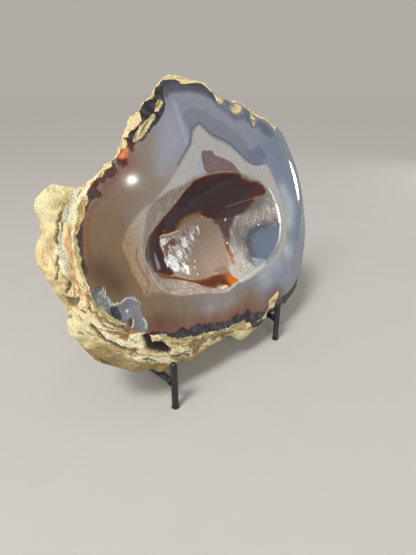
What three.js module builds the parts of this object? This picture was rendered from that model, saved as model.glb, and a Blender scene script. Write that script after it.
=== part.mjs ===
// A polished agate dish that leans back on a small black easel.
// The stone is half a nodule: a flat polished face with an oval hollow ground into it, and a rough rind behind.
// Millimetres, +Z up. The group is shifted so that the centre of its footprint is the origin.
import * as THREE from "three";

// Easel: two side frames of round rod, tied by one bar behind
const ROD = 4.8;
const POST_X = 59;
const POST_HEIGHT = 38;
const FOOT = 5.6;
const FOOT_HEIGHT = 2;
const ARM_HEIGHT = 20.8;
const LEG_Y = 68.8;
const LEG_LENGTH = 128;
const LEG_LEAN = 18;
const LEG_BEND_AT = 26;
const LEG_BEND_RADIUS = 26;
const BAR_HEIGHT = 11;
const WELD = 6.4;
const WELD_LENGTH = 3;
const GAP = 0.3;

// Polished face: the frame of the face is u to the right, v up the slope, w into the stone
const FACE_TILT = 20;
const FACE_Y = 3;
const FACE_Z = 35;
const CENTRE_U = 14;
const CENTRE_V = 74;

// Back of the nodule: its deepest point, and where that lies behind the face
const DEPTH = 64;
const BACK_U = 0;
const BACK_V = 66;
const BACK_RADIUS = 112;

// Ground hollow: three shallow cuts that meet in ridges at one point, each a slope of depth along u and v
const HOLLOW_DEPTH = 24;
const HOLLOW_FULLNESS = 2.1;
const RIDGE_U = 47;
const RIDGE_V = 82;
const CUTS = [
  [-0.006, 0.16],
  [0.05, -0.097],
  [-0.044, -0.064],
];

// Outline by direction from the face's centre. Each row holds, in millimetres after the angle in degrees:
// hollow edge, face edge, how far the rind bulges past the face edge, the depth where it is widest,
// the drop of the polished shoulder, and the roundness of the back
const OUTLINE = [
  [0, 76, 124.5, 3, 14, 5, 1.9],
  [12, 73, 128.5, 3, 14, 5, 1.9],
  [24, 67.5, 129.5, 3, 14, 5, 1.9],
  [33, 62.5, 126, 2, 12, 5, 1.8],
  [40, 59, 118, 2, 10, 4, 1.7],
  [48, 55, 109.5, 2, 8, 2, 1.7],
  [58, 51.5, 103.5, 2, 6, 1, 1.7],
  [70, 47.3, 101, 2, 6, 1, 1.7],
  [82, 45.5, 107.5, 2, 6, 1, 1.8],
  [90, 45.2, 109.5, 2, 6, 1, 1.8],
  [98, 45.8, 110.7, 2, 6, 1, 1.8],
  [106, 46.7, 105.5, 2, 5, 1, 1.7],
  [115, 49.3, 100, 2, 4, 1, 1.6],
  [126, 52, 96, 1, 4, 1, 1.5],
  [138, 56.5, 94.8, 1, 4, 1, 1.5],
  [148, 61, 100.3, 3, 8, 1, 1.6],
  [154, 62, 103.7, 14, 10, 1, 1.8],
  [160, 62.8, 107.2, 20, 12, 1, 2],
  [168, 65, 111.2, 16, 14, 1, 2.1],
  [178, 68.7, 112.8, 15, 14, 1, 2.1],
  [187, 69.4, 113.1, 10, 14, 1, 2.1],
  [194, 68.7, 111, 17, 15, 1, 2.1],
  [203, 66.5, 102.7, 22, 16, 1, 2.1],
  [213, 61, 93, 25, 16, 1, 1.8],
  [224, 54.8, 86, 23.5, 14, 1, 1.7],
  [236, 51, 79.8, 19, 14, 1, 1.7],
  [250, 47.2, 75.4, 14, 14, 1, 2],
  [264, 45.1, 74, 10, 10, 1, 2],
  [276, 44, 78, 9, 10, 1, 2],
  [288, 46, 83, 8, 10, 1, 2],
  [298, 48.8, 83.3, 8, 9, 1, 1.7],
  [308, 53.5, 93.2, 7, 9, 2, 1.7],
  [318, 58.5, 105, 8, 12, 3, 2],
  [328, 66, 114.5, 5, 12, 4, 2],
  [338, 72, 120, 4, 14, 5, 1.9],
  [349, 76.3, 122.7, 3, 14, 5, 1.9],
];
const HOLLOW_EDGE = 1;
const FACE_EDGE = 2;
const BULGE = 3;
const BULGE_DEPTH = 4;
const SHOULDER_DROP = 5;
const ROUNDNESS = 6;
const SHOULDER_WIDTH = 4.8;

// Lumps and pits of the rind: direction in degrees, share of the way from face edge to back, height, radius
const LUMPS = [
  [157, 0.16, 5, 10],
  [170, 0.2, 3, 9],
  [183, 0.14, -4, 9],
  [186, 0.3, -5, 12],
  [193, 0.2, 4, 9],
  [205, 0.22, 4, 11],
  [216, 0.15, 4, 9],
  [222, 0.32, 4, 11],
  [240, 0.22, 3, 9],
  [252, 0.34, -3, 8],
  [265, 0.24, 3, 9],
  [285, 0.3, -3, 9],
  [300, 0.2, 3, 9],
  [316, 0.3, 3, 10],
  [340, 0.34, -3, 11],
  [4, 0.3, 4, 12],
  [28, 0.36, -3, 10],
  [52, 0.26, 3, 9],
  [78, 0.32, -3, 10],
  [100, 0.24, 3, 9],
  [124, 0.34, 4, 12],
  [140, 0.2, -3, 8],
  [166, 0.09, -3, 6],
  [174, 0.09, -3, 6],
  [182, 0.09, -3, 6],
  [150, 0.44, -4, 12],
  [172, 0.5, 5, 14],
  [200, 0.52, -4, 12],
  [232, 0.5, 2, 14],
  [270, 0.52, 4, 12],
  [310, 0.52, -4, 13],
  [350, 0.6, 6, 15],
  [38, 0.56, 4, 13],
  [90, 0.54, 5, 14],
  [130, 0.66, -5, 15],
  [190, 0.74, 5, 15],
  [260, 0.74, -4, 14],
  [330, 0.76, -4, 14],
  [60, 0.8, 4, 14],
];

// Craggy rind: height of the ridges that run over it, and the lengths of its three sets of waves
const CRAG_HEIGHT = 1.8;
const CRAG_WAVES = [11, 14, 9];

// Mesh density: steps round the stone, closer together on its rough left side,
// and steps along each stretch from the hollow's floor to the back
const STEPS_ROUND = 104;
const CROWDED_AT = 190;
const CROWDING = 20;
const HOLLOW_STEPS = 9;
const FACE_STEPS = 2;
const SHOULDER_STEPS = 2;
const BULGE_STEPS = 6;
const BACK_STEPS = 21;
const ROD_SIDES = 12;
const LEG_STEPS = 10;

const wrap = (index, count) => (index + count) % count;

// A smooth closed curve through one column of the outline, where `at` counts rows
function column(at, which) {
  const rows = OUTLINE.length;
  const row = Math.floor(at);
  const f = at - row;
  const a = OUTLINE[wrap(row - 1, rows)][which];
  const b = OUTLINE[wrap(row, rows)][which];
  const c = OUTLINE[wrap(row + 1, rows)][which];
  const d = OUTLINE[wrap(row + 2, rows)][which];
  const slopeB = (c - a) / 2;
  const slopeC = (d - b) / 2;
  const cubic = 2 * (b - c) + slopeB + slopeC;
  const square = 3 * (c - b) - 2 * slopeB - slopeC;
  return ((cubic * f + square) * f + slopeB) * f + b;
}

// The place among the outline's rows of a direction in degrees
function rowOf(degrees) {
  const rows = OUTLINE.length;
  const row = OUTLINE.findLastIndex((station) => station[0] <= degrees);
  const next = row + 1 < rows ? OUTLINE[row + 1][0] : 360;
  return row + (degrees - OUTLINE[row][0]) / (next - OUTLINE[row][0]);
}

function station(degrees) {
  const at = rowOf(degrees);
  return {
    hollow: column(at, HOLLOW_EDGE),
    face: column(at, FACE_EDGE),
    bulge: column(at, BULGE),
    bulgeDepth: column(at, BULGE_DEPTH),
    drop: column(at, SHOULDER_DROP),
    roundness: column(at, ROUNDNESS),
  };
}

// From face coordinates to the easel's frame, whose origin lies midway between the front feet
function place(u, v, w) {
  const tilt = THREE.MathUtils.degToRad(FACE_TILT);
  return new THREE.Vector3(
    u,
    FACE_Y + v * Math.sin(tilt) + w * Math.cos(tilt),
    FACE_Z + v * Math.cos(tilt) - w * Math.sin(tilt),
  );
}

function polar(degrees, radius, w, shift = 0) {
  const angle = THREE.MathUtils.degToRad(degrees);
  const u = THREE.MathUtils.lerp(CENTRE_U, BACK_U, shift) + radius * Math.cos(angle);
  const v = THREE.MathUtils.lerp(CENTRE_V, BACK_V, shift) + radius * Math.sin(angle);
  return place(u, v, w);
}

// The hollow is a bowl with a crisp edge, deepened by the cuts
function hollowPoint(degrees, share) {
  const radius = share * station(degrees).hollow;
  const angle = THREE.MathUtils.degToRad(degrees);
  const fromRidgeU = CENTRE_U + radius * Math.cos(angle) - RIDGE_U;
  const fromRidgeV = CENTRE_V + radius * Math.sin(angle) - RIDGE_V;
  const cut = Math.max(...CUTS.map(([alongU, alongV]) => alongU * fromRidgeU + alongV * fromRidgeV));
  const depth = HOLLOW_DEPTH * (1 - share ** HOLLOW_FULLNESS) + cut * (1 - share ** 4);
  return polar(degrees, radius, depth);
}

function facePoint(degrees, share) {
  const { hollow, face, drop } = station(degrees);
  return polar(degrees, THREE.MathUtils.lerp(hollow, face - drop * SHOULDER_WIDTH, share), 0);
}

function shoulderPoint(degrees, share) {
  const { face, drop } = station(degrees);
  return polar(degrees, face - drop * SHOULDER_WIDTH * (1 - share), drop * share ** 2);
}

// The rind flares out from the face's edge, then closes over the back
function rindPoint(degrees, share) {
  const { face, bulge, bulgeDepth, drop, roundness } = station(degrees);
  const flare = BULGE_STEPS / (BULGE_STEPS + BACK_STEPS);
  if (share < flare) {
    const t = share / flare;
    const radius = face + bulge * Math.sin((t * Math.PI) / 2);
    return polar(degrees, radius, drop + (bulgeDepth - drop) * t ** 1.5);
  }
  const t = ((share - flare) / (1 - flare)) * (Math.PI / 2);
  const toPole = Math.sin(t);
  const power = 2 / THREE.MathUtils.lerp(roundness, 2, toPole);
  const w = THREE.MathUtils.lerp(bulgeDepth, DEPTH, toPole ** power);
  const radius = THREE.MathUtils.lerp(face + bulge, BACK_RADIUS, toPole ** 3);
  return polar(degrees, radius * Math.cos(t) ** power, w, toPole ** 2);
}

const CORE = polar(0, 0, DEPTH / 2, 0.5);
const lumps = LUMPS.map(([degrees, share, height, radius]) => ({
  centre: rindPoint(degrees, share),
  height,
  radius,
}));

// Folded waves that bend one another, for rounded hillocks with creases between them
function crag({ x, y, z }) {
  const [first, second, third] = CRAG_WAVES;
  const folds =
    Math.abs(Math.sin(x / first + 1.4 * Math.sin(z / second))) +
    Math.abs(Math.sin(z / second + 1.2 * Math.sin(y / third) + 2)) +
    Math.abs(Math.sin(y / third + Math.sin(x / second)));
  return CRAG_HEIGHT * (folds - 1.9);
}

// Lumps and crags push the rind outward or inward, and fade to nothing at the polished edge and the pole
function roughen(point, share) {
  const fade = Math.min(1, share * 12);
  const push = lumps.reduce(
    (sum, { centre, height, radius }) =>
      sum + height * Math.exp(-point.distanceToSquared(centre) / (radius * radius)),
    crag(point),
  );
  const outward = point.clone().sub(CORE).normalize();
  return point.addScaledVector(outward, push * fade);
}

// The point of the stone's surface at a direction and a ring, counted from the hollow's floor to the back
function stonePoint(degrees, ring) {
  let step = ring;
  if (step <= HOLLOW_STEPS) {
    return hollowPoint(degrees, step / HOLLOW_STEPS);
  }
  step -= HOLLOW_STEPS;
  if (step <= FACE_STEPS) {
    return facePoint(degrees, step / FACE_STEPS);
  }
  step -= FACE_STEPS;
  if (step <= SHOULDER_STEPS) {
    return shoulderPoint(degrees, step / SHOULDER_STEPS);
  }
  step -= SHOULDER_STEPS;
  const share = step / (BULGE_STEPS + BACK_STEPS);
  return roughen(rindPoint(degrees, share), share);
}

// The stone is a closed ball whose vertices are moved onto the surface
function makeStone() {
  const rings = HOLLOW_STEPS + FACE_STEPS + SHOULDER_STEPS + BULGE_STEPS + BACK_STEPS;
  const geometry = new THREE.SphereGeometry(1, STEPS_ROUND, rings);
  const position = geometry.getAttribute("position");
  for (let i = 0; i < position.count; i++) {
    const ring = Math.floor(i / (STEPS_ROUND + 1));
    const even = (((i % (STEPS_ROUND + 1)) % STEPS_ROUND) * 360) / STEPS_ROUND;
    const crowd = CROWDING * Math.sin(THREE.MathUtils.degToRad(even - CROWDED_AT));
    const point = stonePoint(THREE.MathUtils.euclideanModulo(even - crowd, 360), ring);
    position.setXYZ(i, point.x, point.y, point.z);
  }
  geometry.computeVertexNormals();
  return geometry;
}

// A round rod standing on the origin, from a list of [radius, height]
function turned(profile, steps = 1) {
  const points = [];
  profile.forEach(([radius, height], i) => {
    if (i > 0) {
      const [lastRadius, lastHeight] = profile[i - 1];
      const cuts = Math.abs(height - lastHeight) > 10 ? steps : 1;
      for (let cut = 1; cut < cuts; cut++) {
        const share = cut / cuts;
        points.push(
          new THREE.Vector2(
            THREE.MathUtils.lerp(lastRadius, radius, share),
            THREE.MathUtils.lerp(lastHeight, height, share),
          ),
        );
      }
    }
    points.push(new THREE.Vector2(radius, height));
  });
  return new THREE.LatheGeometry(points, ROD_SIDES).rotateX(Math.PI / 2);
}

// Foot and rounded tip of an upright
function uprightProfile(length) {
  const r = ROD / 2;
  return [
    [0, 0],
    [FOOT / 2, 0],
    [FOOT / 2, FOOT_HEIGHT / 2],
    [r, FOOT_HEIGHT],
    [r, length - r],
    [r * 0.87, length - r * 0.5],
    [r * 0.5, length - r * 0.13],
    [0, length],
  ];
}

// A rod between two others, spread at both ends where it is welded
function tieProfile(length) {
  const r = ROD / 2;
  return [
    [0, 0],
    [WELD / 2, 0],
    [r, WELD_LENGTH],
    [r, length - WELD_LENGTH],
    [WELD / 2, length],
    [0, length],
  ];
}

// Bends an upright rod back in the Y-Z plane: straight, then an arc, then straight at the lean
function leanBack(geometry) {
  const lean = THREE.MathUtils.degToRad(LEG_LEAN);
  const arc = LEG_BEND_RADIUS * lean;
  const position = geometry.getAttribute("position");
  for (let i = 0; i < position.count; i++) {
    const along = position.getZ(i);
    const side = position.getY(i);
    const angle = THREE.MathUtils.clamp((along - LEG_BEND_AT) / LEG_BEND_RADIUS, 0, lean);
    const before = Math.min(along, LEG_BEND_AT);
    const after = Math.max(0, along - LEG_BEND_AT - arc);
    const y = LEG_BEND_RADIUS * (1 - Math.cos(angle)) + after * Math.sin(angle);
    const z = before + LEG_BEND_RADIUS * Math.sin(angle) + after * Math.cos(angle);
    position.setY(i, y + side * Math.cos(angle));
    position.setZ(i, z - side * Math.sin(angle));
  }
  geometry.computeVertexNormals();
  return geometry;
}

function mesh(name, geometry, material) {
  const made = new THREE.Mesh(geometry, material);
  made.name = name;
  return made;
}

const stone = new THREE.MeshStandardMaterial({ color: 0x8b7a72, roughness: 0.2 });
const black = new THREE.MeshStandardMaterial({ color: 0x141416, roughness: 0.4, metalness: 0.6 });

const easel = new THREE.Group();
easel.add(mesh("agate", makeStone(), stone));

const sides = [
  ["left", -POST_X],
  ["right", POST_X],
];
for (const [side, x] of sides) {
  const post = mesh("post_" + side, turned(uprightProfile(POST_HEIGHT)), black);
  post.position.set(x, 0, 0);
  easel.add(post);

  const armLength = LEG_Y - ROD - 2 * GAP;
  const arm = mesh("arm_" + side, turned(tieProfile(armLength)), black);
  arm.rotation.x = -Math.PI / 2;
  arm.position.set(x, ROD / 2 + GAP, ARM_HEIGHT);
  easel.add(arm);

  const leg = mesh("leg_" + side, leanBack(turned(uprightProfile(LEG_LENGTH), LEG_STEPS)), black);
  leg.position.set(x, LEG_Y, 0);
  easel.add(leg);
}

const barLength = 2 * POST_X - ROD - 2 * GAP;
const bar = mesh("cross_bar", turned(tieProfile(barLength)), black);
bar.rotation.y = Math.PI / 2;
bar.position.set(-barLength / 2, LEG_Y, BAR_HEIGHT);
easel.add(bar);

const part = new THREE.Group();
part.add(easel);
const box = new THREE.Box3().setFromObject(part);
easel.position.set(-(box.min.x + box.max.x) / 2, -(box.min.y + box.max.y) / 2, -box.min.z);

export default part;
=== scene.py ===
import math

import bpy
import numpy as np
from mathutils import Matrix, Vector, noise


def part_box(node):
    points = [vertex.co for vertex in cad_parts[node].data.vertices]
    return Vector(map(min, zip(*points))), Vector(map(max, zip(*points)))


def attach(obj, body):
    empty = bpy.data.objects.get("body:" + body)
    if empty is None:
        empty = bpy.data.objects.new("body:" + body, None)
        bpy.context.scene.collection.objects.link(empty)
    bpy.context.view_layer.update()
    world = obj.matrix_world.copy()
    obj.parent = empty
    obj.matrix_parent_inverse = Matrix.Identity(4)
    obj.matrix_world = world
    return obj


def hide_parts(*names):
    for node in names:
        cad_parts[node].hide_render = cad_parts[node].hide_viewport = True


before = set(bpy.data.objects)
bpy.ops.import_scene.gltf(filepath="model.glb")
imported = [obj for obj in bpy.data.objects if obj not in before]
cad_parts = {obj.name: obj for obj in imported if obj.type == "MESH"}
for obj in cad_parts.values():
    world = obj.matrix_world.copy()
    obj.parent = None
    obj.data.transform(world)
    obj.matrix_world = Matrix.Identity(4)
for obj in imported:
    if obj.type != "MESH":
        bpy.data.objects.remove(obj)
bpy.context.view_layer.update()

MM = 0.001

# Places that the frame gives: the easel's origin is midway between the feet of the two posts
POST_BOXES = {side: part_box("post_" + side) for side in ("left", "right")}
POST_AT = {side: (low + high) / 2 for side, (low, high) in POST_BOXES.items()}
EASEL = (POST_AT["left"] + POST_AT["right"]) / 2
EASEL.z = POST_BOXES["left"][0].z


# Camera: close by and a little above the stone, with a wide lens
CAMERA_AT = Vector((-197.5, -166.2, 200)) * MM
CAMERA_HEADING = Vector((0.717, 0.697, 0))
CAMERA_PITCH = math.radians(-25)
LENS_MM = 26
SENSOR_MM = 36


def make_camera():
    data = bpy.data.cameras.new("camera")
    data.lens = LENS_MM
    data.sensor_width = SENSOR_MM
    data.sensor_fit = "AUTO"
    data.clip_start = 0.01
    camera = bpy.data.objects.new("camera", data)
    bpy.context.scene.collection.objects.link(camera)
    camera.location = EASEL + CAMERA_AT
    look = CAMERA_HEADING.normalized() * math.cos(CAMERA_PITCH)
    look.z = math.sin(CAMERA_PITCH)
    camera.rotation_euler = look.to_track_quat("-Z", "Y").to_euler()
    bpy.context.scene.camera = camera


make_camera()


# The stone's face leans back, and its coordinates start at this place of the easel's frame
FACE_TILT = math.radians(20)
FACE_Y = 3
FACE_Z = 35

# Centre of the outline, depth of the stone, and the round back that the outline grows into
CENTRE = (14, 74)
DEPTH = 64
BACK_CENTRE = (0, 66)
BACK_RADIUS = 112

# The ground hollow: how deep and how full it is, and the slopes of the cuts that meet on its ridge
HOLLOW_DEPTH = 24
HOLLOW_FULLNESS = 2.1
RIDGE = (47, 82)
CUTS = [(-0.006, 0.16), (0.05, -0.097), (-0.044, -0.064)]

# Outline by direction from the face's centre. Each row holds, in millimetres after the angle in degrees:
# hollow edge, face edge, how far the rind bulges past the face edge, the depth where it is widest,
# the drop of the polished shoulder, and the roundness of the back
OUTLINE = np.array([
    (0, 77.2, 124.5, 3, 14, 5, 1.9),
    (12, 75, 128.5, 3, 14, 5, 1.9),
    (24, 68.5, 130.3, 3, 14, 5, 1.9),
    (30, 63.5, 131.5, 2.5, 13, 5, 1.9),
    (33, 61, 128.3, 2, 12, 4, 1.8),
    (36, 59, 124, 2, 10, 3, 1.8),
    (40, 56.7, 121, 2, 10, 2, 1.7),
    (48, 53, 112.2, 1.5, 8, 1, 1.7),
    (54, 50.4, 109.8, 1.5, 6, 1, 1.7),
    (58, 48.9, 109.3, 1.5, 6, 1, 1.7),
    (62, 47.6, 105.6, 1.5, 6, 1, 1.7),
    (70, 45.3, 103.8, 1.5, 6, 1, 1.7),
    (74, 44.3, 105, 1.5, 6, 1, 1.7),
    (78, 43.4, 109.5, 1.5, 6, 1, 1.7),
    (84, 42.7, 109.8, 1.5, 6, 1, 1.8),
    (90, 42.1, 110.8, 1.5, 6, 1, 1.8),
    (94, 42, 112, 1, 4, 1, 1.7),
    (98, 42.1, 110.5, 0.4, 2, 1, 1.3),
    (102, 42.3, 107.8, 0.3, 1.6, 1, 1.2),
    (106, 42.5, 102.6, 0.3, 1.6, 1, 1.1),
    (110, 42.6, 101.6, 0.4, 2, 1, 1.2),
    (115, 42.9, 99.3, 0.6, 2, 1, 1.2),
    (121, 44, 98, 1.6, 2.5, 1, 1.1),
    (126, 45.8, 95.8, 0.8, 2, 1, 1.1),
    (131, 48.4, 93.8, 0.4, 1.6, 1, 1.1),
    (136, 51.3, 93.4, 0.5, 2, 1, 1.1),
    (141, 54, 95.7, 0.5, 2, 1, 1.3),
    (146, 57.5, 99, 1, 3, 1, 1.4),
    (150, 60.2, 102, 2.5, 5, 1, 1.5),
    (152.5, 61.5, 104, 7, 10, 1, 1.7),
    (155.5, 63, 105.6, 17.5, 13, 1, 1.9),
    (160, 64, 107.6, 21, 13, 1, 2),
    (168, 65.9, 111.4, 14, 14, 1, 2.1),
    (178, 69, 112.8, 13, 14, 1, 2.1),
    (187, 69.3, 113.1, 11, 14, 1, 2.1),
    (194, 69, 111, 15, 15, 1, 2.1),
    (203, 66.9, 102.7, 20.5, 16, 1, 2.1),
    (213, 60.3, 93, 25, 16, 1, 1.8),
    (224, 52.5, 86, 22.5, 14, 1, 1.7),
    (236, 47.6, 79.8, 17, 14, 1, 1.7),
    (250, 46.3, 75.4, 12.5, 14, 1, 1.9),
    (264, 45.9, 74, 7, 10, 1, 2),
    (276, 44, 78, 10, 10, 1, 2),
    (288, 44.8, 83, 8, 10, 1, 2),
    (298, 47.2, 83.3, 8, 9, 1, 1.7),
    (308, 51.3, 93.2, 12, 11, 2, 2),
    (318, 56.6, 104.6, 9.5, 12, 3, 2),
    (328, 63.7, 112.8, 4.5, 12, 4, 2),
    (338, 70.4, 117.5, 3, 14, 5, 1.9),
    (349, 76.6, 121.3, 3, 14, 5, 1.9),
])
HOLLOW_EDGE, FACE_EDGE, BULGE, BULGE_DEPTH, SHOULDER_DROP, ROUNDNESS = range(1, 7)

# Width of the polished shoulder for each millimetre of its drop
SHOULDER_WIDTH = 4.8

# Lumps and pits of the rind: direction in degrees, share of the way from face edge to back, height, radius
LUMPS = [
    (154.2, 0.14, 11, 4.5), (155.2, 0.18, 4, 4.5), (152.8, 0.19, -11, 4.5), (157, 0.2, 2, 6),
    (152.2, 0.12, -5, 4), (164.5, 0.28, -4, 8), (173, 0.3, 3, 9), (183, 0.14, -4, 9),
    (188.5, 0.3, -5, 10), (193, 0.2, 4, 9), (205, 0.22, 4, 11), (216, 0.15, 4, 9), (229, 0.26, 4, 9),
    (240, 0.22, 3, 9), (252, 0.34, -3, 8), (272, 0.2, 4, 8), (285, 0.3, -3, 9), (300, 0.2, 3, 9),
    (316, 0.3, 3, 10), (340, 0.34, -3, 11), (4, 0.3, 4, 12), (28, 0.36, -3, 10), (52, 0.26, 3, 9),
    (78, 0.32, -3, 10), (100, 0.5, 3, 9), (124, 0.6, 4, 12), (140, 0.44, -3, 8), (166, 0.09, -3, 6),
    (174, 0.09, -3, 6), (182, 0.09, -3, 6), (150, 0.44, -4, 12), (172, 0.5, 5, 14), (200, 0.52, -4, 12),
    (232, 0.5, 2, 14), (270, 0.52, 4, 12), (310, 0.52, -4, 13), (350, 0.6, 6, 15), (38, 0.56, 4, 13),
    (90, 0.54, 5, 14), (130, 0.66, -5, 15), (190, 0.74, 5, 15), (260, 0.74, -4, 14), (330, 0.76, -4, 14),
    (60, 0.8, 4, 14),
]

# Lumps rise over this share of the rind's way. The rind hugs the face in one stretch of directions
LUMPS_RISE = 1 / 12
HUGGING_AT = 124
HUGGING_WIDTH = 29

# Hillocks between the lumps: their height, the lengths of their folds, and the folds' middle value
CRAG_HEIGHT = 1.2
CRAG_WAVES = (11, 14, 9)
CRAG_MIDDLE = 1.9

# Share of the rind's way where its flare ends and its back begins
FLARE = 6 / 27

# Fine mesh: steps round the stone, closer together on its rough left side, and rings of each zone
STEPS_ROUND = 480
CROWDED_AT = math.radians(190)
CROWDING = 20
HOLLOW_RINGS = 52
FACE_RINGS = 46
SHOULDER_RINGS = 4
FLARE_RINGS = 34
BACK_RINGS = 60


def curve_through(a, b, c, d, f):
    """The share f of the way from b to c on a smooth curve through four values or points."""
    slope_b = (c - a) / 2
    slope_c = (d - b) / 2
    cubic = 2 * (b - c) + slope_b + slope_c
    square = 3 * (c - b) - 2 * slope_b - slope_c
    return ((cubic * f + square) * f + slope_b) * f + b


def column(degrees, which):
    """A smooth closed curve through one column of the outline, at each direction."""
    angles = OUTLINE[:, 0]
    values = OUTLINE[:, which]
    count = len(OUTLINE)
    row = np.searchsorted(angles, degrees, side="right") - 1
    following = np.where(row + 1 < count, angles[(row + 1) % count], 360)
    f = (degrees - angles[row]) / (following - angles[row])
    return curve_through(*(values[(row + step) % count] for step in (-1, 0, 1, 2)), f)


def place(u, v, w):
    """From face coordinates to the easel's frame, in millimetres."""
    sin, cos = math.sin(FACE_TILT), math.cos(FACE_TILT)
    return np.stack([u, FACE_Y + v * sin + w * cos, FACE_Z + v * cos - w * sin], axis=-1)


def polar(degrees, radius, w, shift=0.0):
    """Points round the face's centre, or round the back's centre where shift is 1."""
    angle = np.radians(degrees)
    u = CENTRE[0] + (BACK_CENTRE[0] - CENTRE[0]) * shift + radius * np.cos(angle)
    v = CENTRE[1] + (BACK_CENTRE[1] - CENTRE[1]) * shift + radius * np.sin(angle)
    return place(u, v, w + 0 * u)


def hollow_depth(degrees, share):
    """How deep the hollow is at this share of the way from its middle to its edge."""
    radius = share * column(degrees, HOLLOW_EDGE)
    u = CENTRE[0] + radius * np.cos(np.radians(degrees)) - RIDGE[0]
    v = CENTRE[1] + radius * np.sin(np.radians(degrees)) - RIDGE[1]
    cut = np.max([along_u * u + along_v * v for along_u, along_v in CUTS], axis=0)
    return HOLLOW_DEPTH * (1 - share**HOLLOW_FULLNESS) + cut * (1 - share**4)


def rind_point(degrees, share):
    """The rind flares out from the face's edge, then closes over the back."""
    face = column(degrees, FACE_EDGE)
    bulge = column(degrees, BULGE)
    bulge_depth = column(degrees, BULGE_DEPTH)
    drop = column(degrees, SHOULDER_DROP)
    if share < FLARE:
        t = share / FLARE
        radius = face + bulge * math.sin(t * math.pi / 2)
        return polar(degrees, radius, drop + (bulge_depth - drop) * t**1.5)
    t = (share - FLARE) / (1 - FLARE) * math.pi / 2
    to_pole = math.sin(t)
    power = 2 / (column(degrees, ROUNDNESS) * (1 - to_pole) + 2 * to_pole)
    w = bulge_depth + (DEPTH - bulge_depth) * to_pole**power
    radius = face + bulge + (BACK_RADIUS - face - bulge) * to_pole**3
    return polar(degrees, radius * math.cos(t) ** power, w, to_pole**2)


def crag(points):
    """Folded waves that bend one another, for rounded hillocks with creases between them."""
    x, y, z = np.moveaxis(points, -1, 0)
    first, second, third = CRAG_WAVES
    folds = np.abs(np.sin(x / first + 1.4 * np.sin(z / second)))
    folds += np.abs(np.sin(z / second + 1.2 * np.sin(y / third) + 2))
    folds += np.abs(np.sin(y / third + np.sin(x / second)))
    return CRAG_HEIGHT * (folds - CRAG_MIDDLE)


def calm(degrees, shares):
    """Share of the lumps at each point: none by the face's edge, and few where the rind hugs the face."""
    hugging = np.exp(-(((degrees - HUGGING_AT) / HUGGING_WIDTH) ** 6))
    rise = np.clip(shares[:, None] / LUMPS_RISE, 0, 1)
    return rise * (1 - hugging * np.clip(1.4 - shares[:, None] * 3, 0, 1))


def directions():
    """The directions of the steps round the stone, in degrees."""
    even = np.arange(STEPS_ROUND) * 360 / STEPS_ROUND
    crowd = CROWDING * np.sin(np.radians(even) - CROWDED_AT)
    return np.mod(even - crowd, 360)


def stone_rings():
    """The smooth stone's rings, the directions round them, and each ring's way along the rind or -1."""
    degrees = directions()
    hollow = column(degrees, HOLLOW_EDGE)
    face = column(degrees, FACE_EDGE)
    drop = column(degrees, SHOULDER_DROP)
    flat_edge = face - drop * SHOULDER_WIDTH
    rings = []
    shares = []
    for step in range(1, HOLLOW_RINGS + 1):
        share = step / HOLLOW_RINGS
        rings.append(polar(degrees, share * hollow, hollow_depth(degrees, share)))
        shares.append(-1)
    for step in range(1, FACE_RINGS + 1):
        share = step / FACE_RINGS
        rings.append(polar(degrees, hollow + (flat_edge - hollow) * share, 0))
        shares.append(-1)
    for step in range(1, SHOULDER_RINGS + 1):
        share = step / SHOULDER_RINGS
        rings.append(polar(degrees, flat_edge + (face - flat_edge) * share, drop * share**2))
        shares.append(-1 if step < SHOULDER_RINGS else 0)
    for step in range(1, FLARE_RINGS + 1):
        shares.append(FLARE * step / FLARE_RINGS)
        rings.append(rind_point(degrees, shares[-1]))
    for step in range(1, BACK_RINGS):
        shares.append(FLARE + (1 - FLARE) * step / BACK_RINGS)
        rings.append(rind_point(degrees, shares[-1]))
    return np.array(rings), degrees, np.array(shares)


# Relief that is finer than the lumps, in millimetres: sizes of the noise and how far each pushes,
# the way from the face's edge over which it grows, and the crumbs of the pink and crumbly patches
RELIEF = [(13, 1.4), (5.5, 1.1), (2.6, 0.6)]
RELIEF_FADE = 3.5
CRUMB_SIZE = 2.6
CRUMB_HEIGHT = 0.5


def pairs(*numbers):
    """Points from a row of numbers, two for each."""
    return list(zip(numbers[::2], numbers[1::2]))


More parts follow.
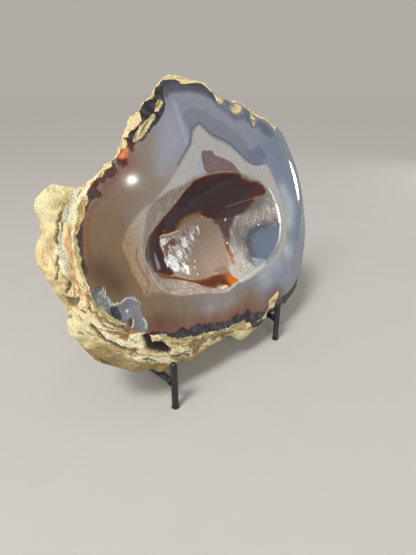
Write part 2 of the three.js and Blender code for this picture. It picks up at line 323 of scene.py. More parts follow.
# Markings of the polished face and its hollow, as closed outlines in face millimetres.
# A smooth curve runs through the points of each, in this many steps from point to point
CURVE_STEPS = 6
FACE_AREAS = {
    "lilac": [pairs(
        -6,162, 0,157, 2,150, 3,141, -3,134, -11,128, -19,123, -24,121, -26,126, -23,138, -17,149,
        -11,158)],
    "comma": [pairs(
        8,160, 11,162, 15,163, 21,163, 27,162, 32,160, 36,156, 42,154, 48,151, 53,147, 59,143, 63,139,
        68,135, 69,129, 65,124, 61,123, 59,126, 54,130, 49,135, 41,139, 33,142, 28,146, 24,150, 22,152,
        17,152, 14,149, 11,146, 9,141, 5,137, 1,133, 1,135, 5,139, 8,143, 10,147, 10,151, 8,154, 7,157)],
    "lobe": [pairs(67,129, 74,128, 81,130, 87,129, 91,123, 86,119, 77,117, 70,119, 66,122)],
    "navy": [
        pairs(54,169, 60,168, 60,164, 54,163),
        pairs(55,159, 62,156, 71,157, 71,153, 60,154),
        pairs(74,162, 82,159, 82,151, 74,152),
        pairs(87,151, 99,149, 107,141, 104,137, 92,142),
    ],
    "quartz": [pairs(
        -70,85, -66,90, -61,95, -54,99, -47,103, -40,105, -32,109, -24,114, -13,122, -5,128, 2,134, 7,138,
        10,143, 14,148, 19,152, 22,151, 25,148, 29,144, 35,140, 41,138, 48,134, 54,130, 58,125, 61,122,
        67,119, 77,116, 85,116, 91,112, 94,104, 98,91, 101,73, 97,55, 87,41, 71,33, 52,30, 33,30, 24,31,
        12,29, 3,30, -5,31, -12,33, -27,38, -40,41, -48,46, -58,49, -62,48, -65,50, -65,56, -67,61,
        -68,66, -68,72, -69,78, -70,82)],
    "fin": [pairs(
        17,133, 22,133, 28,132, 29,129, 34,127, 39,125, 43,123, 46,121, 49,118, 51,115, 52,112, 39,113,
        24,115, 17,117, 15,120, 15,123, 15,127, 16,130)],
    "core": [pairs(
        -27,80, -23,82, -14,81, -4,82, -1,87, 7,89, 14,89, 21,87, 27,84, 33,81, 37,76, 39,71, 39,64,
        38,57, 36,52, 32,46, 26,42, 20,42, 13,42, 3,41, -6,42, -12,45, -19,50, -23,55, -25,61, -26,69,
        -27,75)],
    "glitter": [pairs(
        -27,79, -14,80, -2,82, 9,82, 17,81, 17,72, 8,65, 0,59, -6,50, -13,48, -20,52, -24,58, -26,67)],
    "red_patch": [pairs(
        -25,74, -20,75, -15,76, -12,77, -9,76, -11,71, -14,72, -17,74, -19,72, -20,69, -24,65, -24,72)],
    "window": [pairs(
        90,61, 82,61, 77,61.5, 71.5,61, 67,59, 64,55, 61.5,50, 60,46, 58,43, 55,40, 61,36, 69,38, 77,42,
        84,49)],
    "wedge": [pairs(53,43, 57,41, 60,39, 61,36, 55,34, 49,34, 51,39)],
    "dark": [pairs(
        -48,80, -44,84, -37,87, -25,92, -18,96, -12,99, -7,104, -2,109, 2,111, 5,114, 10,115, 18,116,
        29,116, 41,115, 52,113, 54,112, 57,109, 61,107, 66,105, 72,103, 76,101, 79,99, 81,96, 83,93,
        82,91, 79,90, 73,90, 74,87, 69,85, 66,83, 59,81, 53,80, 46,80, 39,81, 33,82, 26,85, 21,88, 14,89,
        7,89, 0,87, -4,83, -11,81, -20,81, -26,80, -28,76, -26,70, -26,64, -25,59, -23,53, -30,53, -37,56,
        -46,60, -52,65, -54,70, -54,75, -50,78)],
    "band": [pairs(
        -43,59, -36,56, -30,53, -24,51, -17,47, -11,44, -3,42, 3,41, 8,41, 13,41, 19,40, 24,39, 24,35,
        24,32, 17,31, 13,30, 12,31, 8,33, 2,33, -4,35, -9,38, -12,41, -18,45, -26,49, -34,52, -43,56)],
    "purple": [pairs(
        20,92, 29,91, 40,88, 51,87, 62,86, 69,86, 66,82, 61,80, 55,79, 52,75, 48,70, 46,65, 44,61, 40,62,
        40,68, 38,75, 32,83, 24,89)],
    # Painted reflection: a pale patch of reflected light on the glossy dark layer's left
    "dark_layer_reflection": [pairs(-38,72, -36.5,69, -35.6,63, -36.6,61, -40.4,61, -40.2,65)],
    "skin": [
        pairs(0,183, -3,180, -5,176, -6,171, -6,167, -9,162, -13,158, -17,155, -21,153, -25,150, -29,147,
              -33,144, -37,144, -41,142, -44,146, -43,151, -38,156, -33,161, -30,166, -25,170, -18,173,
              -14,176, -11,180, -6,184, 0,186),
        pairs(-67,26, -62,25, -56,22, -51,19, -46,19, -42,20, -39,17, -36,16, -33,17, -29,17, -23,15,
              -19,13, -15,12, -11,11, -6,9, -2,8, 3,7, 6,8, 10,9, 13,9, 15,6, 19,7, 22,8, 25,8, 27,5,
              32,2, 37,1, 41,-1, 47,0, 51,3, 57,6, 63,8, 68,4, 60,-6, 49,-12, 36,-16, 10,-14, -30,-2,
              -60,10, -70,18),
    ],
    "maroon": [
        pairs(-58,133, -58,129, -61,125, -65,125, -69,123, -73,123, -74,120, -72,117, -74,115, -78,115,
              -81,113, -84,110, -87,107, -89,103, -91,98, -92,94, -94,88, -95,84, -95,79, -96,75, -99,74,
              -102,79, -104,88, -102,97, -98,105, -94,111, -89,116, -86,120, -82,124, -76,128, -69,132,
              -62,136),
        pairs(-55,136, -52,136, -50,133, -53,132, -56,132),
    ],
    "ember": [pairs(
        -45,148, -43,148, -44,145, -46,144, -46,141, -47,138, -50,135, -53,136, -53,138, -50,141,
        -48,145)],
    "inlay": [
        pairs(-11,170, -8,169, -8,167, -12,164, -14,162, -17,162, -16,164, -14,167),
        pairs(-19,161, -17,160, -19,157, -22,155, -26,151, -29,149, -33,146, -36,145, -38,144, -40,144,
              -40,146, -38,148, -35,151, -31,154, -26,157, -22,159),
        pairs(43,174, 48,172, 54,170, 51,166, 49,165, 46,166, 45,169),
        pairs(59,164, 64,163, 68,166, 73,162, 68,158, 64,157, 60,159),
        pairs(82,160, 85,157, 87,154, 86,150, 83,146, 82,149, 81,154),
    ],
    "tan": [
        pairs(-2,183, -7,181, -10,178.5, -12,175, -14,171.5, -18,170, -22,169, -24,167, -27,165, -28,163,
              -29,160.5, -29,158, -31,155.5, -34,153.5, -38,151.6, -40,151, -42,149, -44,147, -48,150,
              -48,155, -46,159, -41,163, -36,166, -32,169, -27,173, -21,176, -16,179, -11,184, -5,188),
        pairs(-45,146, -46,142, -49,140, -51,139, -53,138, -55,136, -58,135, -59.5,133, -61,131, -65,130,
              -67,127.5, -70,126, -73.5,126, -75,124, -77,122.5, -80,120, -81.5,119, -88,122, -86,129,
              -78,133, -70,136, -62,141, -55,145, -51,149),
        pairs(-1,183, 3.6,183, 11,182.6, 12,180.3, 17,180, 27,181, 35,180.6, 37,178.5, 43,174.5, 48,179,
              41,187, 30,190, 15,192, 0,192, -6,189),
        pairs(9,-10, 13,-8, 17,-8, 24,-9, 31,-11, 40,-9, 44,-12, 36,-17, 18,-15),
        pairs(68,8, 63,8, 57,6, 52,5, 50,0, 46,-4, 40,-7, 44,-9, 55,-6, 61,-4, 64,1),
    ],
    "rough_chip": [pairs(
        -95,65, -92,65, -89,64, -89,62, -90,60, -89,58, -88,57, -87,55, -87,52, -86,51, -88,50, -88,46,
        -90,48, -90,50, -93,51, -95,52, -97,55, -97,59, -96,63)],
    "smooth_chip": [pairs(
        -81,51, -77,53, -72,53, -70,50, -68,46, -69,42, -68,36, -67,31, -70,27, -74,28, -76,31, -78,34,
        -77,37, -77,40, -81,40, -84,43, -86,46, -88,49, -87,51)],
    "chip_navy": [pairs(-88,51, -84,50, -84,48, -83,45, -84,42, -88,44, -89,48)],
    "gap": [
        pairs(-94,52, -91,49, -89,46, -87,45, -85,41, -82,40, -87,40, -90,44, -92,47),
        pairs(-78,40, -76,39, -78,36, -80,35, -80,39),
    ],
    "haze": [pairs(14,129, 15,127, 15,121, 16,118, 13,117, 7,118, 9,124)],
    # Painted glints: white facets in the core where light catches the crystals
    "facet": [
        pairs(-24,62, -17,65, -14,62, -15,56, -19,53, -22,55),
        pairs(-11,66, -6,68, -5,64, -9,60),
        pairs(-2,74, 3,74, 4,69, -2,67),
        pairs(8,77, 11,72, 9,70),
        pairs(-9,55, -6,53, -11,49, -12,51),
        pairs(16,81, 18,78, 17,73),
        pairs(-27,80, -19,78, -18,75, -22,73, -25,72, -27,76),
    ],
    "band_lobe": [pairs(14,43, 19,44, 24,44, 26,41, 24,38, 18,39)],
    "shade": [pairs(
        -5,184, 1,187, 13,187, 28,185, 38,182, 43,177, 46,171, 43,168, 39,170, 32,173, 27,174, 20,175,
        10,175, 1,174, -4,171, -6,175)],
    "garnet": [
        pairs(-44,149, -41,147, -40,143, -42,139, -44,139, -45,142, -46,145),
        pairs(-76,124, -73,124, -73,122, -76,121),
        pairs(-53,133, -49,135, -49,131, -53,130),
    ],
}

# Lines on the face: half the width, and the points that each runs through
FACE_LINES = {
    "comma_edge": [
        (0.9, pairs(12,149, 18,152, 22,153, 25,150, 29,146, 34,143, 41,140, 49,136, 54,131, 59,127,
            63,123, 69,118, 77,116, 85,117)),
        (0.7, pairs(12,150, 10,145, 8,140, 3,136, -2,132, -9,126)),
    ],
    "seam": [
        (0.3, pairs(-66,88, -70,84, -71,80, -70,74, -69,69, -67,63, -66,58, -65,53, -64,50, -66,48)),
        (0.4, pairs(-60,79, -62,73, -61,68, -59,61, -58,56, -61,52, -63,50)),
        (0.3, pairs(-56,68, -57,62, -58,55)),
    ],
    "olive": [(0.5, pairs(-61,49, -56,48, -48,46, -40,42, -25,38, -15,35, -4,31))],
    # Painted glints: thin gold-white lines of light along crystal edges in the hollow
    "gold_glint": [
        (0.5, pairs(-27,81, -23,82, -18,81, -13,81, -8,81, -3,81)),
        (0.3, pairs(55,79, 60,78)),
        (0.5, pairs(6,31, 12,31.5)),
    ],
    "core_edge": [(1.7, pairs(-4,84, 0,87, 7,89, 13,89, 20,89))],
    # Painted highlight: a thin pale line along the crease of the hollow's ridge
    "ridge": [(0.45, pairs(79,90, 73,90, 68,90, 61,90, 53,89, 47,89))],
    "streak": [(1.7, pairs(41,62, 40,58, 39,54, 38,49))],
    "streak_end": [(1.1, pairs(39,53, 38,49, 36,46, 35,44))],
    "tan": [
        (1.4, pairs(37,182, 40,179, 43,177, 47,174, 55,171.2, 61,170, 66,168, 71,168, 75,166, 79,163,
            85,160, 90,156, 96,154, 101,153, 106,150, 110,147, 114,143)),
    ],
    "chip_white": [
        (0.5, pairs(-89,64, -89,61, -90,59, -88,57, -87,54, -87,52, -83,52)),
        (0.5, pairs(-76,39, -77,36, -79,34)),
        (0.4, pairs(-69,37, -68,33, -69,30)),
        (0.8, pairs(-78.2,45, -77.6,45.3)),
        (0.4, pairs(-82,51, -80,52, -77,53, -74,52, -72,51, -70,49)),
    ],
    # Painted glints: small bright points of light on the hollow's crystals
    "glint_spark": [
        (0.6, pairs(3,55, 3.3,55)),
        (0.6, pairs(-1,51, -0.7,51)),
        (0.6, pairs(-3,46, -2.7,46)),
        (0.7, pairs(41,60, 41.3,60)),
        (0.7, pairs(74,67, 74.3,67)),
        (0.7, pairs(45,79.5, 45,78.5)),
    ],
    "lilac_streak": [(1.6, pairs(2,167, 3,161, 3,156, 4,150, 4,145, 5,140))],
    "blush": [
        (1.2, pairs(-49,134, -57,128, -62,123, -69,121, -71,115, -78,112, -83,108, -87,103, -90,93,
            -92,84, -93,77)),
    ],
    # Painted highlight: a bright crescent along the hollow's right rim, where its polished edge catches the
    # light
    "crescent_highlight": [
        (0.3, pairs(85,95, 88,89, 90,83)),
        (0.95, pairs(90.4,80, 91.2,76, 91.2,70, 90.3,64)),
        (0.5, pairs(90,62, 88,57, 86,53, 81,47)),
    ],
    # Painted highlight: a thin pale line along the hollow's lower rim
    "rim_low_highlight": [
        (0.5, pairs(88,57, 86,53, 80,46, 72,40, 63,36)),
        (1.3, pairs(57,35, 46,33, 35,31, 25,31)),
    ],
    "navy": [
        (1.6, pairs(44,167, 50,163, 57,159, 64,155, 72,156, 79,155, 81,147, 88,149, 96,147, 104,141,
            109,134)),
    ],
}

# Markings of the rind and the face's edge: direction in degrees, and millimetres out from the edge
RIM_AREAS = {
    "ash": [
        pairs(159.9,9.8, 159.1,6.9, 161.4,5, 163.7,4, 164.2,7.9, 165.7,10.5, 170.2,9.2, 172.2,9.7,
              174.5,8.5, 177.3,7.5, 178.7,11.2, 176.4,10.9, 174.7,12.3, 171,12.3, 166.8,12.4, 162.4,10.4),
        pairs(155.4,7.8, 153.6,6.4, 151.6,4.7, 150,2.6, 152.3,1.8, 154.1,4.2, 156.2,3.7, 157.5,6.2,
              159.1,6.6, 158.6,8.3, 156.8,8.3),
    ],
    "orange": [
        pairs(164.7,6.3, 165.9,2, 169.2,2.9, 172.7,2.5, 175.6,2.6, 179.1,3.7, 180.4,9.4, 180.1,11.3,
              177.2,8.2, 172.3,8.3, 169,8.4, 166.9,7.3),
        pairs(184.3,3.9, 185.6,0.2, 187.7,0.3, 189,2.4, 187.8,3.2, 186,5.1),
    ],
    "lime": [
        pairs(163,2, 164.1,-0.4, 169.5,-0.4, 173.8,-1.6, 177.7,-0.9, 181.3,-1.9, 184.6,-1.6, 187.6,-1.7,
              190,-2.8, 192.6,-3.1, 195.1,-3.2, 198.4,-3.4, 200.9,-3.1, 201.4,-0.5, 198.9,-0.9, 196.9,0.3,
              194.1,0.3, 191.6,1, 189.2,0.2, 185.8,-0.6, 181.7,-0.4, 177.9,1.5, 174.3,1.8, 170.7,2.5,
              166.4,1.1),
        pairs(213.3,1.9, 214.2,0.7, 216.4,-1.6, 219.2,-0.8, 222.9,0, 228.5,-0.6, 234.6,-0.6, 239.2,-1.9,
              245.7,-2, 254.1,-0.5, 262.3,-2, 269.4,-2.1, 272.7,-4.1, 274.1,1.1, 271.3,3.6, 265.4,3,
              258.8,1.3, 248.7,1.7, 240.3,2.1, 232.2,3.2, 226.6,2.3, 221.4,1.9, 217.1,4.3),
    ],
    "bright": [
        pairs(148.6,4, 149.5,0.6, 152.8,0.8, 155.7,0.4, 156.6,2.2, 158.9,2.6, 161.6,2.5, 164.2,0.5,
              170.7,2.3, 172.1,3.2, 169.2,3.4, 165.1,1.7, 161.4,4.1, 159.1,4.8, 156.9,4.5, 156.2,6.1,
              154.4,5.9, 152,4.5),
        pairs(194.1,5.8, 195.5,4.8, 197.7,5.3, 200,6.4, 202.9,8.6, 205.6,8.7, 208.4,8.5, 209.5,11.6,
              206.5,12.2, 203.3,11.5, 200,9.1, 197,7.4, 194.9,7),
        pairs(205.9,7.9, 205.1,4, 206.5,1.6, 208.5,0.8, 208.6,3.9, 210.4,7.9, 212.3,9.9, 210.2,11,
              208.1,11.5, 206.3,9.8),
        pairs(229.1,10.3, 231.1,8.3, 235.7,9.8, 237.2,13.6, 232.6,11.7),
        pairs(210,14.1, 213.4,14.5, 217.5,15.1, 221.6,15.5, 227,14.9, 231.5,18.2, 225.4,19, 218.8,18.6,
              214.2,18),
    ],
    "pink": [pairs(
        178.2,12.6, 179.8,13.2, 181.1,11.9, 181.8,2.1, 183.7,4.6, 185.5,3.7, 187.2,6.3, 188.5,2.4,
        189.2,6.3, 187.6,9.5, 188.3,12.4, 187.7,24.1, 185.7,25.7, 183.6,16.1, 181.7,14.9, 180.4,16.3)],
    "crumbs": [pairs(
        158.3,2.9, 156.5,1.2, 155.2,-0.5, 156.9,-2.2, 158.8,-1.8, 161,-2.2, 163,-2.6, 165.5,-2.2,
        168,-0.6, 165,1.4, 161.6,2.4, 159.8,2.6)],
    "cream": [
        pairs(189.1,23.8, 188.7,8.3, 191.2,5, 193.9,5.3, 195.4,9.4, 197.6,11.2, 198.2,15, 198,20, 197,24,
              194.9,19, 191.1,17.5),
        pairs(215.4,8.8, 218.6,11.5, 222.5,10.7, 225,8.9, 223.7,6.2, 228.6,8.6, 235.1,11, 234.5,15.1,
              227.8,13.3, 221,14.4, 216.4,12.8),
        pairs(208.1,2.6, 210,3, 213.3,7.5, 216.4,10.8, 213.9,11, 211.6,9.7, 209.1,6.3),
        pairs(154.5,12, 157.5,12, 159.6,13.6, 162.5,14.5, 164,17, 163,22, 160,26, 156,24, 154.5,19),
        pairs(262.5,6, 268.8,6, 274.4,6.2, 279.1,5.6, 284.8,9.3, 279.8,10, 275.8,12, 269,12, 264.8,10),
    ],
    "brown": [
        pairs(198,4.8, 199.9,4.2, 202,1.4, 203.8,-1.7, 206.6,0.3, 205.9,3.7, 205.9,7.9, 203.4,8.5,
              200.5,6.4),
        pairs(222.6,3.7, 226.9,3.8, 232.7,4.1, 238.4,2.2, 246.4,1, 256.6,2.4, 263.8,3.1, 262.2,7,
              256.9,7.1, 247.2,5.2, 242.5,5.8, 241,10.7, 239.1,13.9, 235,13.9, 231.4,10.1, 233.5,7.1,
              229.1,6.7, 224.8,6.3),
        pairs(190.6,1, 192.6,2.4, 194.1,1.1, 196.9,0.3, 199.8,-0.5, 201.3,0.3, 201.4,2.3, 198.9,2.2,
              196.6,3.7, 194.1,4.2, 192.1,4),
    ],
    "pocket": [pairs(184.8,18.5, 185.3,12.7, 186.1,6.8, 187,9.5, 187.2,12.6, 186.5,19.4)],
    "cavity": [pairs(
        209,2.6, 209.6,1, 211,0.8, 212.6,2.8, 214,5.2, 216.8,5.2, 219.6,5.8, 223.8,9, 224.8,11,
        222.4,12.8, 218,12.8, 214.4,11.2, 211.6,7)],
    # Dark skin on the lower right of the rind, deepened with painted shade where it lies beneath the
    # polished edge
    "dark_skin_and_shade": [pairs(
        278,-2, 285,-3, 300,-3, 325,-2, 345,-1, 350,3, 344,8, 338,15, 330,12, 322,19, 312,15, 303,22,
        294,15, 286,19, 280,9)],
    # The ochre patch makes the rind's underside darker olive-brown: partly its own colour, partly painted
    # shade
    "ochre": [pairs(
        198,34, 199.5,24, 200.5,13.4, 205,13, 209,13.6, 211,16, 217,15.5, 223,14, 229,11, 236,10, 241,12,
        246,16, 246,30, 236,42, 205,42)],
    # Painted shade: darker olive in the knob's dimple and on the flank below it
    "olive_painted_shade": [
        pairs(155.5,12.5, 154.3,12.6, 155.4,9.6, 157,9.3, 158.6,10, 158.7,10.9),
        pairs(158.7,16.1, 158,13.7, 158.6,12.5, 160.2,12.7, 161,14.5, 160.2,16.6),
        pairs(167,13, 169,12.8, 171.4,14, 173.4,16.4, 175,19.4, 172.4,20.6, 169,18.4, 167.2,16),
    ],
}
RIM_LINES = {
    "crack": [
        (0.6, pairs(161.6,11, 163.1,11.6, 164.2,13.3, 165.9,12.8, 167.9,13.4, 169.6,12.4)),
        (0.5, pairs(173.1,13, 174.7,13.6, 176.2,12.9, 177.6,14.6, 178.9,17.1)),
        (0.7, pairs(180.6,12.8, 182.1,14.2, 183.4,17.5)),
        (0.6, pairs(184.2,22, 185.2,18.9)),
        (0.5, pairs(189.6,20, 189.6,14)),
        (0.5, pairs(189,7.4, 190,6.3)),
        (0.5, pairs(189.1,3, 191,3.5)),
        (0.7, pairs(194,7.8, 197.4,9.2, 199.8,10.4, 202.3,11.9, 204.8,12.6, 207,12.8)),
        (0.5, pairs(210,15, 212.2,15.1)),
        (0.5, pairs(209.5,12.7, 211.6,13)),
        (0.5, pairs(215.4,16.3, 218.6,16.9, 221.5,18.2)),
        (0.5, pairs(205.3,26.1, 207.1,27.4, 209.7,31.3)),
        (0.5, pairs(226.3,13.5, 230.3,13, 236,13.9)),
        (0.5, pairs(196,4.7, 197.5,3.9, 199.4,3.3, 200.8,3.3)),
        (0.5, pairs(208.5,1.7, 211.2,2.9, 213.8,5.4)),
    ],
    "bright": [
        (0.35, pairs(196,3.1, 198,2.2, 200.5,3.2, 202.5,0.7)),
        (0.6, pairs(235.9,2.2, 238.5,0.2)),
        (0.5, pairs(242.5,2.8, 245.8,2.5)),
    ],
    "lime": [(0.5, pairs(221.6,3, 225.5,5.7, 229.2,4.5, 231.6,4.6))],
    "ash": [
        (0.5, pairs(239.7,7, 243.1,5.1, 247.2,5.2)),
        (0.5, pairs(242.5,9.6, 247.7,10)),
    ],
    "dip": [(1.6, pairs(145,9, 149.5,10.5, 153,11.2, 156,11.6))],
}
RIM_MM_PER_DEGREE = 1.75

# Markings that count as rind, and the depth that stands for far outside a marking
RIND_MARKS = ("tan", "inlay", "orange", "lime", "bright", "crumbs", "cream", "brown", "cavity")
FAR = -50.0

# Soft tints of the face: each spot holds its centre, its radius and its strength
TINTS = {
    "warm": [
        (-88, 100, 26, 0.7), (-86, 70, 26, 0.9), (-62, 40, 26, 0.9), (-70, 88, 18, 0.5), (-30, 25, 22, 0.7),
        (5, 14, 18, 0.9), (35, 12, 16, 0.9), (-60, 118, 20, 0.45),
    ],
    "beige": [(-32, 140, 22, 0.9), (-30, 118, 22, 0.9), (-55, 115, 18, 0.8)],
    "umber": [
        (-88, 74, 10, 0.8), (-80, 62, 9, 0.75), (-58, 27, 9, 0.7), (-46, 25, 8, 0.4), (-61, 31, 6, 0.5),
    ],
    "blue": [
        (105, 128, 20, 0.9), (112, 90, 24, 0.7), (114, 55, 22, 0.6), (60, 14, 14, 0.6), (52, 24, 10, 0.4),
    ],
    "red": [
        (-48, 133, 9, 0.8), (-68, 120, 10, 0.4), (-66, 27, 6, 0.6), (50, 10, 10, 0.3), (-12, 13, 7, 0.4),
    ],
    "tip": [(24, 32, 6, 1.2), (20, 31, 5, 0.5)],
    # The lit spots set where the core's painted glints are strongest
    "lit": [(-16, 56, 10, 1.2), (-18, 66, 8, 0.6), (-6, 66, 12, 0.7), (4, 76, 9, 0.5), (-20, 78, 6, 0.6)],
    "smoke": [(68, 86, 7, 0.9), (79, 86, 8, 0.7), (54, 60, 9, 0.7), (59, 86, 7, 1), (56, 70, 6, 0.4)],
    "chalk": [(56, 78, 4, 0.5), (65, 77.5, 4, 0.25), (42, 43, 11, 0.5), (50, 36, 7, 0.5), (28, 36, 6, 0.4)],
    # The pale spots at the right shoulder are painted reflection on its polish
    "pale": [
        (54, 26, 11, 0.7), (72, 32, 9, 0.5), (104, 90, 7, 0.9), (108, 76, 9, 1), (102, 62, 8, 1),
        (91, 39, 8, 1), (-36, 12, 8, 0.3), (-14, 21, 8, 0.3), (6, 20, 10, 0.3),
    ],
}

# The face's edge: how far waves break its line, how far from the edge they reach, and the degrees
# to either side of the far right where it stays even, then those over which the waves set in
EDGE_RAGGED = 0.65
EDGE_WAVES = (19, 31, 47, 83, 127)
EDGE_REACH = 3.5
EDGE_EVEN = 38
EDGE_SETS_IN = 20

# Chips in the lower left edge, and the ripples in the smooth one: their centre, number and height
CHIP_DEPTH = 2.4
RIPPLE_AT = (-72, 44)
RIPPLES_PER_MM = 1.6
RIPPLE_HEIGHT = 0.08

# Small pits on the hollow's ridge, and the bevel of the hollow's rim
PITS_AT = (47, 81)
PITS_RADIUS = 5
PITS_SIZE = 2.4
PITS_HEIGHT = 0.4
RIM_BEVEL = 0.5

# Rings on either side of the face's edge that the rind's markings and the face's markings can reach
RIM_MARKS_INSIDE = 18
RIM_MARKS_BEHIND = FLARE_RINGS + 12
FACE_MARKS_OUTSIDE = 9

# How far each marking of the rind goes in or stands out, in millimetres
RIM_RELIEF = {
    "crack": -1.6, "cavity": -3, "pocket": -2, "ash": -0.7, "lime": 0.4, "bright": 0.4, "brown": -0.8,
    "dip": -2,
}


def bumps(points, size, seed):
    """Smooth noise from -1 to 1 at each point, with features about as large as size."""
    offset = Vector((seed * 17.3, seed * -9.1, seed * 5.7))
    flat = points.reshape(-1, 3) / size
    values = [noise.noise(Vector(point) + offset) for point in flat]
    return np.array(values).reshape(points.shape[:-1])


def lumps(points):
    """How far the lumps and pits push each point outward."""
    push = np.zeros(points.shape[:-1])
    for degrees, share, height, radius in LUMPS:
        centre = rind_point(np.array([float(degrees)]), share)[0]
        apart = np.sum((points - centre) ** 2, axis=-1)
        push += height * np.exp(-apart / radius**2)
    return push


def smooth_closed(points):
    """A smooth closed curve through the points."""
    points = np.array(points, float)
    around = [np.roll(points, shift, axis=0) for shift in (1, 0, -1, -2)]
    curve = [curve_through(*around, step / CURVE_STEPS) for step in range(CURVE_STEPS)]
    return np.stack(curve, axis=1).reshape(-1, 2)


def distance_to_segments(points, starts, ends):
    """How far each point is from the nearest of the segments."""
    nearest = np.full(len(points), np.inf)
    for start, end in zip(starts, ends):
        along = end - start
        t = np.clip((points - start) @ along / max(along @ along, 1e-9), 0, 1)
        apart = points - start - t[:, None] * along
        nearest = np.minimum(nearest, np.einsum("ij,ij->i", apart, apart))
    return np.sqrt(nearest)


def inside_depth(points, outline):
    """How far each point lies inside a smooth closed outline, or outside it where negative."""
    curve = smooth_closed(outline)
    following = np.roll(curve, -1, axis=0)
    inside = np.zeros(len(points), bool)
    for start, end in zip(curve, following):
        crosses = (start[1] > points[:, 1]) != (end[1] > points[:, 1])
        rise = end[1] - start[1]
        if rise != 0:
            at = start[0] + (points[:, 1] - start[1]) * (end[0] - start[0]) / rise
            inside ^= crosses & (points[:, 0] < at)
    apart = distance_to_segments(points, curve, following)
    return np.where(inside, apart, -apart)


def line_depth(points, half_width, line):
    """How far each point lies inside a drawn line, or outside it where negative."""
    line = np.array(line, float)
    return half_width - distance_to_segments(points, line[:-1], line[1:])


def mark_depths(points, areas, lines, scale=(1, 1)):
    """How deep each point lies inside each marking, or how far outside it where negative."""
    points = points * scale
    depths = {}
    for name, outlines in areas.items():
        found = [inside_depth(points, np.array(outline) * scale) for outline in outlines]
        depths[name] = np.max(found, axis=0)
    for name, paths in lines.items():
        found = [line_depth(points, half, np.array(path) * scale) for half, path in paths]
        depths[name] = np.maximum(depths.get(name, FAR), np.max(found, axis=0))
    return depths


def to_face(points):
    """From the easel's frame, in millimetres, to face coordinates."""
    sin, cos = math.sin(FACE_TILT), math.cos(FACE_TILT)
    x, y, z = np.moveaxis(points, -1, 0)
    y = y - FACE_Y
    z = z - FACE_Z
    return np.stack([x, y * sin + z * cos, y * cos - z * sin], axis=-1)


def ragged_edge(rings, degrees, edge_mm):
    """Breaks the line of the face's edge, except round the polished shoulder on the right."""
    angle = np.radians(degrees)
    wave = sum(np.sin(count * angle + count * count) for count in EDGE_WAVES) / 2
    off_right = np.abs((degrees + 180) % 360 - 180)
    away = np.clip((off_right - EDGE_EVEN) / EDGE_SETS_IN, 0, 1)
    shift = EDGE_RAGGED * wave * away * np.exp(-(edge_mm / EDGE_REACH) ** 2)
    outward = place(np.cos(angle), np.sin(angle), 0 * angle) - place(0.0, 0.0, 0.0)
    rings += shift[..., None] * outward


def roughen(rings, degrees, shares, out_mm, rim_marks):
    """Pushes the rind's rings out and in. Returns how deep each vertex lies in a crease."""
    core = polar(np.zeros(1), 0.0, DEPTH / 2, 0.5)[0]
    rough = shares > 0
    points = rings[rough]
    coarse = lumps(points) + crag(points)
    coarse *= calm(degrees, shares[rough])
    fine = np.zeros(points.shape[:-1])
    for seed, (size, height) in enumerate(RELIEF):
        fine += height * bumps(points, size, seed)
    crumbly = sum(np.clip(rim_marks[name][rough] + 1, 0, 2) for name in ("pink", "crumbs"))
    fine += CRUMB_HEIGHT * crumbly * np.abs(bumps(points, CRUMB_SIZE, 9))
    fine *= np.clip(out_mm[rough] / RELIEF_FADE, 0, 1)
    outward = points - core
    outward /= np.linalg.norm(outward, axis=-1, keepdims=True)
    rings[rough] = points + outward * (coarse + fine)[..., None]
    crease = np.zeros(rings.shape[:-1])
    crease[rough] = fine
    marked = sum(height * np.clip(rim_marks[name] + 0.3, 0, 1) for name, height in RIM_RELIEF.items())
    outward = rings - core
    outward /= np.linalg.norm(outward, axis=-1, keepdims=True)
    rings += outward * marked[..., None]
    return crease


def chip_depth(uv, depths):
    """How far the two chips in the face's lower left edge go into the stone."""
    rough = np.clip(depths["rough_chip"] / 1.5, 0, 1)
    smooth = np.clip(depths["smooth_chip"] / 6, 0, 1)
    ripple = np.sin(np.hypot(uv[:, 0] - RIPPLE_AT[0], uv[:, 1] - RIPPLE_AT[1]) * RIPPLES_PER_MM)
    return CHIP_DEPTH * (0.7 * rough + 0.6 * smooth) + RIPPLE_HEIGHT * ripple * smooth


def add_object(name, points, faces):
    """A new smooth object in the scene, from points in metres."""
    mesh = bpy.data.meshes.new(name)
    mesh.from_pydata([tuple(point) for point in points], [], faces)
    mesh.polygons.foreach_set("use_smooth", [True] * len(mesh.polygons))
    made = bpy.data.objects.new(name, mesh)
    bpy.context.scene.collection.objects.link(made)
    return made


def add_attribute(mesh, name, kind, values):
    field = "vector" if kind == "FLOAT_VECTOR" else "value"
    attribute = mesh.attributes.new(name, kind, "POINT")
    attribute.data.foreach_set(field, np.asarray(values, np.float32).ravel())


def ring_faces(count_rings, count_round):
    """Quads between the rings, then the fans that close the front and the back."""
    ring = np.arange(count_rings - 1)[:, None] * count_round
    here = np.arange(count_round)[None, :]
    following = (here + 1) % count_round
    quads = np.stack([
        ring + here, ring + count_round + here, ring + count_round + following, ring + following,
    ], axis=-1).reshape(-1, 4)
    front = count_rings * count_round
    last = (count_rings - 1) * count_round
    fans = [(front, i, (i + 1) % count_round) for i in range(count_round)]
    fans += [(front + 1, last + (i + 1) % count_round, last + i) for i in range(count_round)]
    return quads.tolist() + fans


def rim_depths(degrees, out_mm, first, last):
    """The rind's markings at every vertex of the rings from first to last, far outside them elsewhere."""
    around = np.broadcast_to(degrees, out_mm.shape)
    near = np.stack([around[first:last].ravel(), out_mm[first:last].ravel()], axis=-1)
    found = mark_depths(near, RIM_AREAS, RIM_LINES, (RIM_MM_PER_DEGREE, 1))
    depths = {}
    for name, values in found.items():
        depths[name] = np.full(out_mm.shape, FAR)
        depths[name][first:last] = values.reshape(last - first, -1)
    return depths


